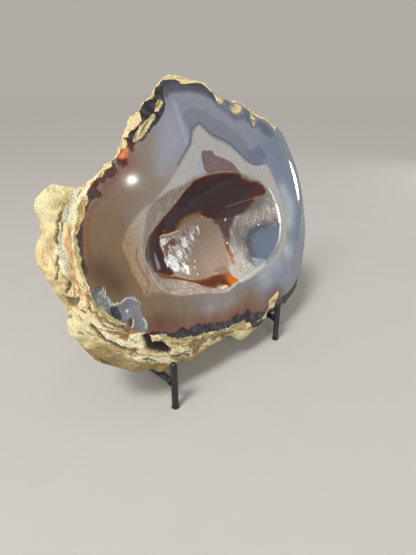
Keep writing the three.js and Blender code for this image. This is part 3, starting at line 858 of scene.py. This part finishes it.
def build_stone():
    rings, degrees, shares = stone_rings()
    edge_ring = int(np.flatnonzero(shares == 0)[0])
    steps = np.linalg.norm(np.diff(rings, axis=0), axis=-1)
    travelled = np.concatenate([np.zeros((1, STEPS_ROUND)), np.cumsum(steps, axis=0)])
    edge_mm = travelled[edge_ring] - travelled
    hollow_mm = travelled[HOLLOW_RINGS - 1] - travelled
    rim_marks = rim_depths(degrees, -edge_mm, edge_ring - RIM_MARKS_INSIDE, edge_ring + RIM_MARKS_BEHIND)
    ragged_edge(rings, degrees, edge_mm)
    crease = roughen(rings, degrees, shares, -edge_mm, rim_marks)

    # Face markings reach past the edge, so that the rind's ragged line can fall on either side of it
    face_rings = rings[: edge_ring + FACE_MARKS_OUTSIDE]
    face = to_face(face_rings).reshape(-1, 3)
    uv = face[:, :2]
    face_marks = mark_depths(uv, FACE_AREAS, FACE_LINES)
    near_ridge = np.exp(-((uv[:, 0] - PITS_AT[0]) ** 2 + (uv[:, 1] - PITS_AT[1]) ** 2) / PITS_RADIUS**2)
    depth = chip_depth(uv, face_marks) + PITS_HEIGHT * near_ridge * bumps(face, PITS_SIZE, 5)
    into = place(0.0, 0.0, 1.0) - place(0.0, 0.0, 0.0)
    face_rings += depth.reshape(face_rings.shape[:2])[..., None] * into
    rings[HOLLOW_RINGS - 1] += RIM_BEVEL * into

    points = np.concatenate([rings.reshape(-1, 3), [rings[0].mean(axis=0), rings[-1].mean(axis=0)]])
    stone = add_object("agate_stone", points * MM + np.array(EASEL), ring_faces(len(rings), STEPS_ROUND))
    mesh = stone.data

    def whole(values, fill):
        """Values of the first vertices, for every vertex of the mesh."""
        filled = np.full(len(points), float(fill))
        filled[: values.size] = values.ravel()
        filled[-2] = filled[:STEPS_ROUND].mean()
        return filled

    marks = {name: whole(values, FAR) for name, values in face_marks.items()}
    for name, values in rim_marks.items():
        marks[name] = np.maximum(marks.get(name, FAR), whole(values, FAR))
    for name, spots in TINTS.items():
        marks[name] = whole(sum(
            strength * np.exp(-((uv[:, 0] - u) ** 2 + (uv[:, 1] - v) ** 2) / radius**2)
            for u, v, radius, strength in spots
        ), 0)
    marks["edge_mm"] = whole(edge_mm, -100)
    marks["hollow_mm"] = whole(hollow_mm, -100)
    marks["crease"] = whole(crease, 0)

    # The dark skin and painted shade under the right side end just short of the tan. The rind reaches over
    # the edge where its markings do
    marks["dark_skin_and_shade"] = np.minimum(marks["dark_skin_and_shade"], -0.3 - marks["tan"])
    marks["rind"] = np.max([-marks["edge_mm"]] + [marks[name] for name in RIND_MARKS], axis=0)
    for name, values in marks.items():
        add_attribute(mesh, name, "FLOAT", values)
    add_attribute(mesh, "face_mm", "FLOAT_VECTOR", to_face(points))
    around = whole(np.broadcast_to(degrees, edge_mm.shape), 0)
    rim_mm = np.stack([around * RIM_MM_PER_DEGREE, marks["edge_mm"], 0 * around], axis=-1)
    add_attribute(mesh, "rim_mm", "FLOAT_VECTOR", rim_mm)
    mesh.validate()
    return stone


def tone(red, green, blue):
    """A linear colour from display values of 0 to 255."""
    display = np.array([red, green, blue]) / 255
    linear = np.where(display <= 0.04045, display / 12.92, ((display + 0.055) / 1.055) ** 2.4)
    return (*linear.tolist(), 1.0)


class Painter:
    """Builds the nodes of one material. Sizes of its patterns are in millimetres."""

    def __init__(self, name):
        self.material = bpy.data.materials.new(name)
        self.material.use_nodes = True
        self.tree = self.material.node_tree
        self.shader = self.tree.nodes["Principled BSDF"]
        coordinates = self.node("ShaderNodeTexCoord")
        self.mm = self.vector("SCALE", coordinates.outputs["Object"], scale=1 / MM)

    def node(self, kind, **settings):
        made = self.tree.nodes.new(kind)
        for key, value in settings.items():
            setattr(made, key, value)
        return made

    def put(self, socket, value):
        """Links a socket, or sets its value. A colour is given by display values of 0 to 255."""
        if isinstance(value, bpy.types.NodeSocket):
            self.tree.links.new(value, socket)
        elif socket.type == "RGBA":
            socket.default_value = tone(*value)
        else:
            socket.default_value = value

    def set(self, name, value):
        self.put(self.shader.inputs[name], value)

    def vector(self, operation, first, second=None, scale=None):
        made = self.node("ShaderNodeVectorMath", operation=operation)
        self.put(made.inputs[0], first)
        if second is not None:
            self.put(made.inputs[1], second)
        if scale is not None:
            self.put(made.inputs["Scale"], scale)
        return made.outputs["Vector"]

    def math(self, operation, first, second=0.0, clamp=False):
        made = self.node("ShaderNodeMath", operation=operation, use_clamp=clamp)
        self.put(made.inputs[0], first)
        self.put(made.inputs[1], second)
        return made.outputs[0]

    def times(self, first, second):
        return self.math("MULTIPLY", first, second)

    def plus(self, first, second, clamp=False):
        return self.math("ADD", first, second, clamp)

    def mark(self, name, output="Fac"):
        return self.node("ShaderNodeAttribute", attribute_name=name).outputs[output]

    def wander(self, name, wobble, by):
        """The marking's depth, with its edge wandering by this many millimetres."""
        return self.plus(self.mark(name), self.times(wobble, by))

    def stretched(self, vector, turn, scale):
        """The vector turned about its third axis, then scaled."""
        turned = self.node("ShaderNodeVectorRotate", rotation_type="Z_AXIS")
        self.put(turned.inputs["Vector"], vector)
        turned.inputs["Angle"].default_value = math.radians(turn)
        return self.vector("MULTIPLY", turned.outputs["Vector"], scale)

    def noise(self, size, detail=2.0, roughness=0.5, where=None):
        """Noise from 0 to 1, with features about as large as size."""
        made = self.node("ShaderNodeTexNoise")
        self.put(made.inputs["Vector"], where or self.mm)
        made.inputs["Scale"].default_value = 1 / size
        made.inputs["Detail"].default_value = detail
        made.inputs["Roughness"].default_value = roughness
        return made.outputs["Fac"]

    def cells(self, size, where):
        """A random number from 0 to 1 for each cell of about this size."""
        made = self.node("ShaderNodeTexVoronoi")
        self.put(made.inputs["Vector"], where)
        made.inputs["Scale"].default_value = 1 / size
        parts = self.node("ShaderNodeSeparateColor")
        self.put(parts.inputs["Color"], made.outputs["Color"])
        return parts.outputs["Red"]

    def between(self, value, low, high, to_low=0.0, to_high=1.0):
        """Runs smoothly from to_low at low to to_high at high."""
        made = self.node("ShaderNodeMapRange", interpolation_type="SMOOTHSTEP")
        self.put(made.inputs["Value"], value)
        ends = {"From Min": low, "From Max": high, "To Min": to_low, "To Max": to_high}
        for name, number in ends.items():
            self.put(made.inputs[name], number)
        return made.outputs["Result"]

    def mix(self, first, second, factor):
        made = self.node("ShaderNodeMix", data_type="RGBA")
        self.put(made.inputs[0], factor)
        self.put(made.inputs[6], first)
        self.put(made.inputs[7], second)
        return made.outputs[2]

    def paint(self, colour, layers, grain, wobble):
        """The colour with each layer laid over it. The grain brings out the layer's second tone."""
        for name, first, second, soft, wander, strength in layers:
            depth = self.wander(name, wobble, wander)
            amount = self.between(depth, -soft, soft, 0, strength)
            colour = self.mix(colour, first, amount)
            colour = self.mix(colour, second, self.times(amount, grain))
        return colour

    def ramp(self, value, stops):
        made = self.node("ShaderNodeValToRGB")
        self.put(made.inputs["Fac"], value)
        places = made.color_ramp.elements
        while len(places) < len(stops):
            places.new(0.5)
        for place_on_ramp, (at, colour) in zip(places, stops):
            place_on_ramp.position = at
            place_on_ramp.color = tone(*colour)
        return made.outputs["Color"]

    def bump(self, height, strength, distance_mm):
        made = self.node("ShaderNodeBump")
        made.inputs["Strength"].default_value = strength
        made.inputs["Distance"].default_value = distance_mm * MM
        self.put(made.inputs["Height"], height)
        return made.outputs["Normal"]


# Colours of the soft tints that lie under all layers of the face. The pale tint stands partly for painted
# reflection on the right shoulder
FACE_TINTS = {
    "beige": (128, 119, 110), "warm": (116, 97, 74), "umber": (80, 58, 40), "blue": (104, 121, 142),
    "pale": (160, 170, 180),
}

# Layers of paint, first to last: the marking, two tones that the grain mixes, how soft its edge is,
# how far the edge wanders, both in millimetres, and its strength
FACE_LAYERS = [
    # The lilac layers at the top are partly painted reflection on the gloss
    ("lilac", (142, 147, 165), (138, 142, 160), 9, 1, 0.7),
    ("lilac_streak", (152, 158, 184), (142, 148, 172), 2.6, 1, 0.6),
    ("comma", (107, 114, 128), (112, 119, 132), 1.2, 0.8, 1),
    ("lobe", (92, 102, 124), (98, 108, 128), 3, 1, 0.9),
    ("navy", (70, 80, 100), (88, 98, 116), 2.6, 5, 0.75),
    ("shade", (62, 66, 80), (80, 84, 98), 2.2, 2, 0.95),
]
QUARTZ_LAYERS = [
    ("comma_edge", (78, 86, 98), (92, 98, 108), 0.7, 0.5, 0.75),
    ("seam", (108, 70, 34), (136, 96, 54), 0.8, 2, 0.9),
    ("olive", (112, 104, 78), (130, 120, 92), 0.6, 0.6, 0.6),
    ("haze", (150, 152, 172), (142, 144, 162), 1.4, 1, 0.6),
    ("fin", (94, 73, 76), (120, 100, 102), 0.6, 1.8, 1),
    ("blush", (112, 46, 38), (122, 64, 52), 1.6, 5, 0.36),
    ("maroon", (42, 32, 32), (86, 64, 56), 0.9, 4, 0.95),
    ("ember", (204, 96, 52), (222, 134, 90), 1.6, 3, 0.95),
    ("garnet", (96, 32, 26), (60, 22, 24), 1, 3, 0.9),
]
HOLLOW_LAYERS = [
    ("core", (139, 120, 107), (154, 136, 122), 0.9, 0.8, 1),
    ("window", (86, 96, 112), (90, 100, 116), 2.4, 1, 1),
    ("wedge", (134, 144, 156), (122, 132, 144), 0.7, 0.6, 0.9),
]
LATE_LAYERS = [
    ("purple", (62, 40, 46), (86, 64, 68), 2, 5, 0.92),
    ("streak", (128, 74, 38), (104, 60, 42), 1, 2, 0.9),
    ("streak_end", (168, 112, 48), (140, 88, 42), 0.8, 1.5, 0.85),
    ("band_lobe", (126, 90, 76), (140, 106, 90), 1.4, 2, 0.7),
    # Painted highlight along the hollow's ridge
    ("ridge", (132, 112, 108), (116, 96, 94), 0.4, 0.4, 0.6),
    # Painted reflection on the dark layer
    ("dark_layer_reflection", (176, 172, 182), (150, 144, 152), 1.3, 0.8, 0.8),
    ("red_patch", (104, 56, 42), (132, 78, 52), 0.7, 1.2, 0.9),
    ("core_edge", (112, 74, 40), (160, 124, 82), 1.6, 4, 0.8),
    # Painted glints along crystal edges
    ("gold_glint", (244, 226, 170), (222, 184, 112), 0.4, 0.8, 0.9),
    # Painted highlight along the hollow's right rim
    ("crescent_highlight", (255, 255, 255), (246, 250, 252), 0.5, 0.3, 0.95),
    # Painted highlight along the hollow's lower rim
    ("rim_low_highlight", (170, 174, 178), (190, 188, 186), 0.7, 0.6, 0.75),
    ("rough_chip", (100, 103, 110), (150, 153, 152), 0.5, 1.2, 1),
    ("smooth_chip", (104, 106, 112), (122, 124, 130), 0.5, 0.6, 1),
    ("chip_navy", (30, 34, 46), (48, 54, 68), 0.8, 1, 0.95),
    ("gap", (52, 38, 34), (92, 62, 46), 0.6, 0.8, 0.9),
    ("chip_white", (208, 204, 192), (186, 184, 176), 0.4, 0.5, 0.9),
    # Painted glints
    ("glint_spark", (250, 236, 208), (255, 248, 230), 0.5, 0, 0.95),
]
RIND_LAYERS = [
    ("inlay", (222, 204, 152), (178, 156, 106), 0.8, 0.8, 0.9),
    # Dark skin, deepened with painted shade under the polished edge
    ("dark_skin_and_shade", (38, 40, 48), (54, 56, 66), 0.8, 1.2, 0.97),
    # Darker underside, partly painted shade
    ("ochre", (164, 142, 92), (140, 118, 76), 4, 4, 0.85),
    ("cream", (224, 214, 166), (240, 230, 186), 1.5, 1.5, 0.85),
    # Painted shade in the knob's dimple and on the flank
    ("olive_painted_shade", (182, 164, 112), (198, 180, 128), 1.5, 1.2, 0.8),
    ("ash", (218, 220, 198), (160, 172, 154), 0.8, 1.4, 0.9),
    ("orange", (186, 146, 94), (220, 188, 138), 0.8, 1.8, 0.9),
    ("pink", (240, 212, 168), (160, 120, 78), 1.2, 1.6, 0.9),
    ("brown", (170, 138, 92), (120, 90, 54), 0.9, 1.4, 0.95),
    ("lime", (168, 160, 108), (194, 184, 134), 0.6, 0.8, 0.95),
    ("crumbs", (206, 180, 118), (150, 118, 66), 0.6, 1.2, 0.9),
    ("bright", (255, 250, 216), (232, 226, 190), 0.6, 0.9, 0.95),
]
# Painted shade: darker colours laid in the pocket, the cracks and the cavity, where shade falls
CREVICE_SHADE_LAYERS = [
    ("pocket", (84, 74, 46), (116, 104, 68), 0.8, 1.2, 0.9),
    ("crack", (58, 42, 24), (104, 84, 50), 0.5, 0.8, 0.9),
    ("cavity", (22, 15, 13), (48, 32, 26), 0.7, 0.8, 1),
]


def polished_colour(p, grain, wobble):
    """The polished face and its hollow: colour, and shares of matt chips, sugary quartz and dark layer."""
    flat = p.mark("face_mm", "Vector")

    # Outer face: gray chalcedony, brown towards the left and the bottom, in faint bands. Its gray-blue
    # tones also hold a painted veil of reflected light
    clouds = p.noise(22, 3, 0.5)
    colour = p.mix((121, 127, 144), (129, 132, 144), clouds)
    for name, shade in FACE_TINTS.items():
        colour = p.mix(colour, shade, p.mark(name))
    quartz_depth = p.mark("quartz")
    bands = p.math("SINE", p.times(p.plus(quartz_depth, p.times(wobble, 3)), 0.7))
    colour = p.mix(colour, (92, 92, 98), p.between(bands, 0.2, 1.2, 0, 0.1))
    colour = p.mix(colour, (122, 58, 44), p.times(p.mark("red"), 0.6))
    colour = p.paint(colour, FACE_LAYERS, grain, wobble)
    shade = p.between(p.mark("shade"), -1, 2)
    colour = p.mix(colour, (40, 39, 47), p.times(shade, p.between(p.mark("edge_mm"), 7, 1.5, 0, 0.9)))
    stripes = p.noise(7, 2, 0.5, p.stretched(flat, 4, (1, 0.16, 1)))
    parts = p.node("ShaderNodeSeparateXYZ")
    p.put(parts.inputs["Vector"], flat)
    low = p.between(parts.outputs["Y"], 56, 36)
    colour = p.mix(colour, (164, 154, 146), p.times(p.between(stripes, 0.46, 0.7, 0, 0.1), low))
    colour = p.mix(colour, (112, 86, 66), p.times(p.between(stripes, 0.5, 0.34, 0, 0.1), low))

    # Sugary quartz round the hollow
    quartz = p.mix((158, 157, 158), (140, 114, 82), p.mark("warm"))
    quartz = p.mix(quartz, (122, 116, 108), p.between(grain, 0.5, 1, 0, 0.3))
    quartz = p.mix(quartz, (194, 190, 184), p.between(grain, 0.5, 0, 0, 0.32))
    wandering = p.plus(quartz_depth, p.times(wobble, 1.6))
    colour = p.mix(colour, quartz, p.between(wandering, -1, 2.2))
    colour = p.paint(colour, QUARTZ_LAYERS, grain, wobble)

    # Dark skin inside the rim, red where light comes through its edge
    skin_depth = p.wander("skin", wobble, 3)
    patchy = p.between(p.noise(7, 3, 0.6), 0.35, 0.6)
    colour = p.mix(colour, (104, 66, 50), p.times(p.between(skin_depth, -12, -1, 0, 0.66), low))
    colour = p.mix(colour, (136, 62, 52),
                   p.times(p.between(skin_depth, -2.6, -0.6, 0, 0.7), p.times(low, patchy)))
    skin = p.mix((34, 32, 35), (72, 72, 80), p.between(p.noise(5, 3), 0.42, 0.7))
    colour = p.mix(colour, skin, p.between(skin_depth, -0.5, 0.6))

    # The hollow's own walls: brownish quartz on the left, speckled gray on the right
    to_right = p.between(parts.outputs["X"], 25, 62)
    streaks = p.noise(2.2, 3, 0.65, p.stretched(flat, 24, (1, 0.22, 1)))
    wall = p.mix((160, 147, 136), (146, 142, 137), to_right)
    wall = p.mix(wall, (206, 200, 192), p.between(streaks, 0.5, 0.66, 0, 0.8))
    wall = p.mix(wall, (104, 92, 84), p.between(streaks, 0.46, 0.32, 0, 0.5))
    wall = p.mix(wall, (68, 68, 70), p.times(p.between(grain, 0.62, 1, 0, 0.9), to_right))
    wall = p.mix(wall, p.mix((214, 212, 208), (140, 138, 134), grain), p.mark("chalk"))
    wall = p.mix(wall, p.mix((70, 64, 64), (108, 106, 106), grain), p.mark("smoke"))
    colour = p.mix(colour, wall, p.between(p.mark("hollow_mm"), -0.4, 0.6))
    window_depth = p.mark("window")
    halo = p.times(p.between(window_depth, -12, -2.5), p.between(grain, 0, 0.8, 0.75, 1))
    halo = p.times(halo, p.between(p.mark("hollow_mm"), -0.4, 0.6))
    colour = p.mix(colour, (50, 53, 66), p.times(halo, 0.95))
    colour = p.paint(colour, HOLLOW_LAYERS, grain, wobble)

    # Pale crystal facets in the core, with painted glints on them
    facet_at = p.stretched(flat, -30, (1, 0.42, 1))
    facets = p.cells(2.2, facet_at)
    glint_splinters = p.cells(1.5, facet_at)
    crystal_glint_colour = p.mix((136, 118, 106), (202, 196, 194), p.between(facets, 0.15, 1))
    # Painted glints: near-white splinters of light on the facets
    crystal_glint_colour = p.mix(crystal_glint_colour, (246, 246, 252), p.between(glint_splinters, 0.66, 0.84))
    glitter_depth = p.wander("glitter", wobble, 6)
    crystal_glint_colour = p.mix(crystal_glint_colour, (130, 112, 102), p.between(grain, 0.55, 1, 0, 0.6))
    sparkle = p.plus(p.times(p.mark("lit"), 0.6), 0.4, clamp=True)
    colour = p.mix(colour, crystal_glint_colour, p.times(p.between(glitter_depth, -2, 6), sparkle))
    # Painted glints on the white facets
    glint_facet_depth = p.wander("facet", wobble, 3)
    colour = p.mix(colour, (254, 254, 255),
                   p.times(p.between(glint_facet_depth, -0.8, 0.6), p.between(glint_splinters, 0.2, 0.4, 0.2, 1)))

    # Glassy dark layer and the brown band below
    dark_depth = p.wander("dark", wobble, 1.4)
    dark = p.ramp(p.between(dark_depth, 0, 8), [
        (0, (120, 80, 50)), (0.1, (84, 44, 34)), (0.3, (72, 44, 46)), (1, (66, 50, 55)),
    ])
    colour = p.mix(colour, dark, p.between(dark_depth, -0.5, 0.6))
    band_depth = p.wander("band", wobble, 1.2)
    ribs = p.between(p.noise(1.5, 2, 0.6, p.stretched(flat, 8, (1, 0.2, 1))), 0.4, 0.6)
    band = p.mix((126, 74, 34), p.mix((98, 46, 26), (68, 30, 20), ribs), p.between(band_depth, 0.3, 2.4))
    band = p.mix(band, (176, 96, 6), p.between(p.mark("tip"), 0.15, 0.8))
    colour = p.mix(colour, band, p.between(band_depth, -0.6, 0.7))
    colour = p.paint(colour, LATE_LAYERS, grain, wobble)
    # Painted highlight: a pale line along the hollow's rim
    rim = p.math("ABSOLUTE", p.mark("hollow_mm"))
    colour = p.mix(colour, (172, 168, 162), p.between(rim, 1, 0.3, 0, 0.3))
    glassy = p.math("MAXIMUM", p.between(dark_depth, -0.5, 0.6), p.between(window_depth, -1, 1))
    sugary = p.times(p.between(quartz_depth, -1, 2), p.math("SUBTRACT", 1.0, glassy))
    matt = p.math("MAXIMUM", p.between(p.mark("rough_chip"), -0.4, 0.4),
                  p.between(p.mark("smooth_chip"), -0.4, 0.4, 0, 0.3))
    return colour, matt, sugary, p.between(dark_depth, -0.5, 1)


def rind_colour(p, grain, wobble):
    """The rind: its colour, and the height of its fine relief."""
    large = p.noise(16, 3, 0.55)
    middle = p.noise(5, 4, 0.6)
    streaks = p.noise(2.4, 4, 0.6, p.stretched(p.mark("rim_mm", "Vector"), 0, (0.2, 1, 1)))
    colour = p.mix((246, 225, 168), (230, 205, 146), p.between(large, 0.4, 0.62))
    colour = p.mix(colour, (240, 228, 188), p.between(middle, 0.52, 0.72, 0, 0.7))
    colour = p.mix(colour, (166, 138, 88), p.between(middle, 0.42, 0.28, 0, 0.45))
    # Painted shade: the rind darkens in the creases of its fine relief
    colour = p.mix(colour, (140, 114, 72), p.between(p.mark("crease"), -0.4, -1.6, 0, 0.55))
    frayed = p.math("SUBTRACT", p.noise(2.2, 5, 0.75), 0.5)
    frayed = p.times(p.plus(frayed, wobble), 1.2)
    colour = p.paint(colour, RIND_LAYERS, grain, frayed)
    near_rim = p.between(p.mark("edge_mm"), -24, -12)
    colour = p.mix(colour, (104, 82, 50), p.times(p.between(streaks, 0.45, 0.38, 0, 0.8), near_rim))
    colour = p.mix(colour, (250, 242, 208), p.times(p.between(streaks, 0.56, 0.62, 0, 0.75), near_rim))
    colour = p.mix(colour, (150, 124, 78), p.between(grain, 0.7, 1, 0, 0.35))
    # Painted shade in the crevices, laid last
    colour = p.paint(colour, CREVICE_SHADE_LAYERS, grain, frayed)
    return colour, p.plus(middle, p.times(streaks, near_rim))


def agate_material():
    p = Painter("brazilian_agate")
    wobble = p.math("SUBTRACT", p.noise(4, 4, 0.66), 0.5)
    grain = p.between(p.noise(1.1, 3, 0.7), 0.36, 0.64)
    polished, dull_chip, sugary, dark = polished_colour(p, grain, wobble)
    rind, relief = rind_colour(p, grain, wobble)
    ragged = p.plus(p.mark("rind"), p.times(p.math("SUBTRACT", p.noise(1.8, 3, 0.6), 0.5), 1.6))
    is_rind = p.between(ragged, -0.25, 0.25)
    p.set("Base Color", p.mix(polished, rind, is_rind))
    dull = p.math("MAXIMUM", is_rind, dull_chip)
    gloss = p.between(sugary, 0, 1, 0.08, 0.3)
    p.set("Roughness", p.plus(p.times(gloss, p.math("SUBTRACT", 1.0, dull)), p.times(dull, 0.85)))
    p.set("IOR", 1.54)
    p.set("Specular IOR Level", p.between(dark, 0, 1, 0.5, 0.22))
    height = p.plus(relief, p.times(grain, 0.35))
    p.set("Normal", p.bump(p.times(height, dull), 1.0, 1.1))
    return p.material


stone = build_stone()
stone.data.materials.append(agate_material())
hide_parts("agate")
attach(stone, "root")


# Easel: round rod in satin black, in millimetres
ROD = 4.8
FOOT = 5.6
WELD = 6.4
WELD_LENGTH = 3
LEG_LENGTH = 128
LEG_LEAN = math.radians(18)
LEG_BEND_AT = 26
LEG_BEND_RADIUS = 26
GAP = 0.3
ROD_SIDES = 28
TIP_STEPS = 9

# Weld where a rod crosses another: height and half length of its swelling, and size of its lumps
SWELL_HEIGHT = 0.25
SWELL_LENGTH = 1.6
SWELL_LUMPS = 1.6


def sweep(name, stations, point_at, lumpy):
    """A closed round rod through stations of distance and radius. Its swellings are uneven, as weld is."""
    path = [point_at(along) for along, _ in stations]
    rings = []
    for i, (point, (_, radius)) in enumerate(zip(path, stations)):
        along = (path[min(i + 1, len(path) - 1)] - path[max(i - 1, 0)]).normalized()
        side = along.cross(Vector((0.3, 0.2, 0.93)))
        if abs(along.z) > 0.8:
            side = along.cross(Vector((1, 0, 0)))
        side.normalize()
        other = along.cross(side)
        ring = []
        for step in range(ROD_SIDES):
            angle = step * 2 * math.pi / ROD_SIDES
            outward = side * math.cos(angle) + other * math.sin(angle)
            swell = max(0.0, radius - ROD / 2)
            uneven = lumpy * swell * noise.noise((point + outward * radius) / SWELL_LUMPS)
            ring.append(point + outward * (radius + uneven))
        rings.append(ring)
    points = [point for ring in rings for point in ring] + [path[0], path[-1]]
    return add_object(name, [point * MM + EASEL for point in points], ring_faces(len(rings), ROD_SIDES))


def upright_stations(length):
    """Distance along an upright and radius there: a foot below, a rounded tip above."""
    r = ROD / 2
    foot = FOOT / 2
    stations = [(0, foot - 0.5), (0.15, foot - 0.15), (0.5, foot), (1.4, foot), (2.2, r + 0.1), (2.8, r)]
    middle = np.linspace(4, length - r - 0.5, max(2, int(length / 1.5)))
    stations += [(along, r) for along in middle]
    for step in range(TIP_STEPS):
        angle = math.pi / 2 * step / TIP_STEPS
        stations.append((length - r + r * math.sin(angle), r * math.cos(angle)))
    return stations


def swollen(stations, centres):
    """Adds weld swellings round the rod at these distances along it."""
    out = []
    for along, radius in stations:
        swell = sum(math.exp(-(((along - centre) / SWELL_LENGTH) ** 2)) for centre in centres)
        out.append((along, radius + SWELL_HEIGHT * min(1, swell)))
    return out


def leg_point(along, x, y):
    """A rear upright: straight, then an arc, then straight at the lean."""
    angle = min(max((along - LEG_BEND_AT) / LEG_BEND_RADIUS, 0), LEG_LEAN)
    after = max(0, along - LEG_BEND_AT - LEG_BEND_RADIUS * LEG_LEAN)
    back = LEG_BEND_RADIUS * (1 - math.cos(angle)) + after * math.sin(angle)
    height = min(along, LEG_BEND_AT) + LEG_BEND_RADIUS * math.sin(angle) + after * math.cos(angle)
    return Vector((x, y + back, height))


def easel_mm(point):
    return (point - EASEL) / MM


def tie_stations(length):
    """A rod between two others, spread at both ends where it is welded."""
    stations = [(0, WELD / 2 - 0.6), (0.2, WELD / 2 - 0.1)]
    middle = np.linspace(0.6, length - 0.6, int(length / 0.8))
    for along in middle:
        end = min(along, length - along)
        spread = max(0, 1 - end / WELD_LENGTH) ** 0.7
        stations.append((along, ROD / 2 + (WELD - ROD) / 2 * spread))
    return stations + [(length - 0.2, WELD / 2 - 0.1), (length, WELD / 2 - 0.6)]


def corners_mm(box):
    return [easel_mm(corner) for corner in box]


def tie(name, node, axis):
    """A rod along one axis, from end to end of the piece's box."""
    low, high = corners_mm(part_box(node))
    start = (low + high) / 2
    start[axis] = low[axis]
    step = Vector((0, 0, 0))
    step[axis] = 1
    return sweep(name, tie_stations(high[axis] - low[axis]), lambda along: start + step * along, 0.5)


def finish_rod(piece, node, material):
    piece.data.materials.append(material)
    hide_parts(node)
    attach(piece, "root")


def black_material():
    p = Painter("satin_black")
    mottle = p.noise(6, 3)
    fine = p.noise(0.7, 3, 0.6)
    p.set("Base Color", p.mix((26, 26, 29), (44, 44, 47), p.between(mottle, 0.4, 0.7)))
    p.set("Roughness", p.between(mottle, 0.35, 0.7, 0.34, 0.5))
    p.set("Normal", p.bump(fine, 0.35, 0.25))
    return p.material


BLACK = black_material()
BAR_LOW, BAR_HIGH = corners_mm(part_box("cross_bar"))
for side in ("left", "right"):
    arm_low, arm_high = corners_mm(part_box("arm_" + side))
    arm_height = (arm_low.z + arm_high.z) / 2
    at = easel_mm(POST_AT[side])
    post_height = (POST_BOXES[side][1].z - POST_BOXES[side][0].z) / MM
    stations = swollen(upright_stations(post_height), [arm_height])
    post = sweep("post_" + side + "_rod", stations, lambda along: Vector((at.x, at.y, along)), 0.8)
    finish_rod(post, "post_" + side, BLACK)

    finish_rod(tie("arm_" + side + "_rod", "arm_" + side, 1), "arm_" + side, BLACK)

    stations = swollen(upright_stations(LEG_LENGTH), [arm_height, (BAR_LOW.z + BAR_HIGH.z) / 2])
    leg_y = arm_high.y + GAP + ROD / 2
    leg = sweep("leg_" + side + "_rod", stations, lambda along: leg_point(along, at.x, leg_y), 0.8)
    finish_rod(leg, "leg_" + side, BLACK)
finish_rod(tie("cross_bar_rod", "cross_bar", 0), "cross_bar", BLACK)


# Stage: a pale floor that runs to the horizon, and soft light
FLOOR_SIZE = 60.0
CENTRE_AT = (0, 0, 0.09)
SUN_FROM = (-0.55, -0.12, 1)
SUN_WIDTH = math.radians(14)

# Lamps: name, place, what it is aimed at, colour, width and power
LAMPS = [
    ("fill", (-0.75, -1.1, 0.75), CENTRE_AT, (1, 0.98, 0.96), 0.5, 7),
    ("left", (-0.85, -0.12, 0.92), CENTRE_AT, (1, 0.98, 0.93), 0.4, 5),
    ("side", (1.15, -0.2, 0.2), CENTRE_AT, (0.93, 0.97, 1), 0.2, 2),
    ("lamp", (0.65, -0.94, 0.615), (-0.06, 0, 0.15), (1, 1, 1), 0.02, 0.1),
]


def make_floor():
    half = FLOOR_SIZE / 2
    corners = [(-half, -half, 0), (half, -half, 0), (half, half, 0), (-half, half, 0)]
    floor = add_object("floor", corners, [(0, 1, 2, 3)])
    p = Painter("pale_floor")
    p.set("Base Color", p.mix((173, 172, 170), (177, 176, 174), p.noise(40, 4)))
    p.set("Roughness", 0.8)
    p.set("Specular IOR Level", 0.2)
    floor.data.materials.append(p.material)


def add_light(kind, name, at, aim, colour, **settings):
    data = bpy.data.lights.new(name, kind)
    data.color = colour
    for key, value in settings.items():
        setattr(data, key, value)
    light = bpy.data.objects.new(name, data)
    light.location = at
    light.rotation_euler = (Vector(aim) - Vector(at)).to_track_quat("-Z", "Y").to_euler()
    bpy.context.scene.collection.objects.link(light)


def make_light():
    world = bpy.data.worlds.new("studio")
    bpy.context.scene.world = world
    world.use_nodes = True
    background = world.node_tree.nodes["Background"]
    background.inputs["Color"].default_value = tone(176, 172, 166)
    background.inputs["Strength"].default_value = 1.0
    add_light("SUN", "key", SUN_FROM, CENTRE_AT, (1, 0.97, 0.92), energy=2.0, angle=SUN_WIDTH)
    for name, at, aim, colour, size, energy in LAMPS:
        add_light("AREA", name, at, aim, colour, shape="DISK", size=size, energy=energy)


make_floor()
make_light()
bpy.context.scene.view_settings.view_transform = "Standard"
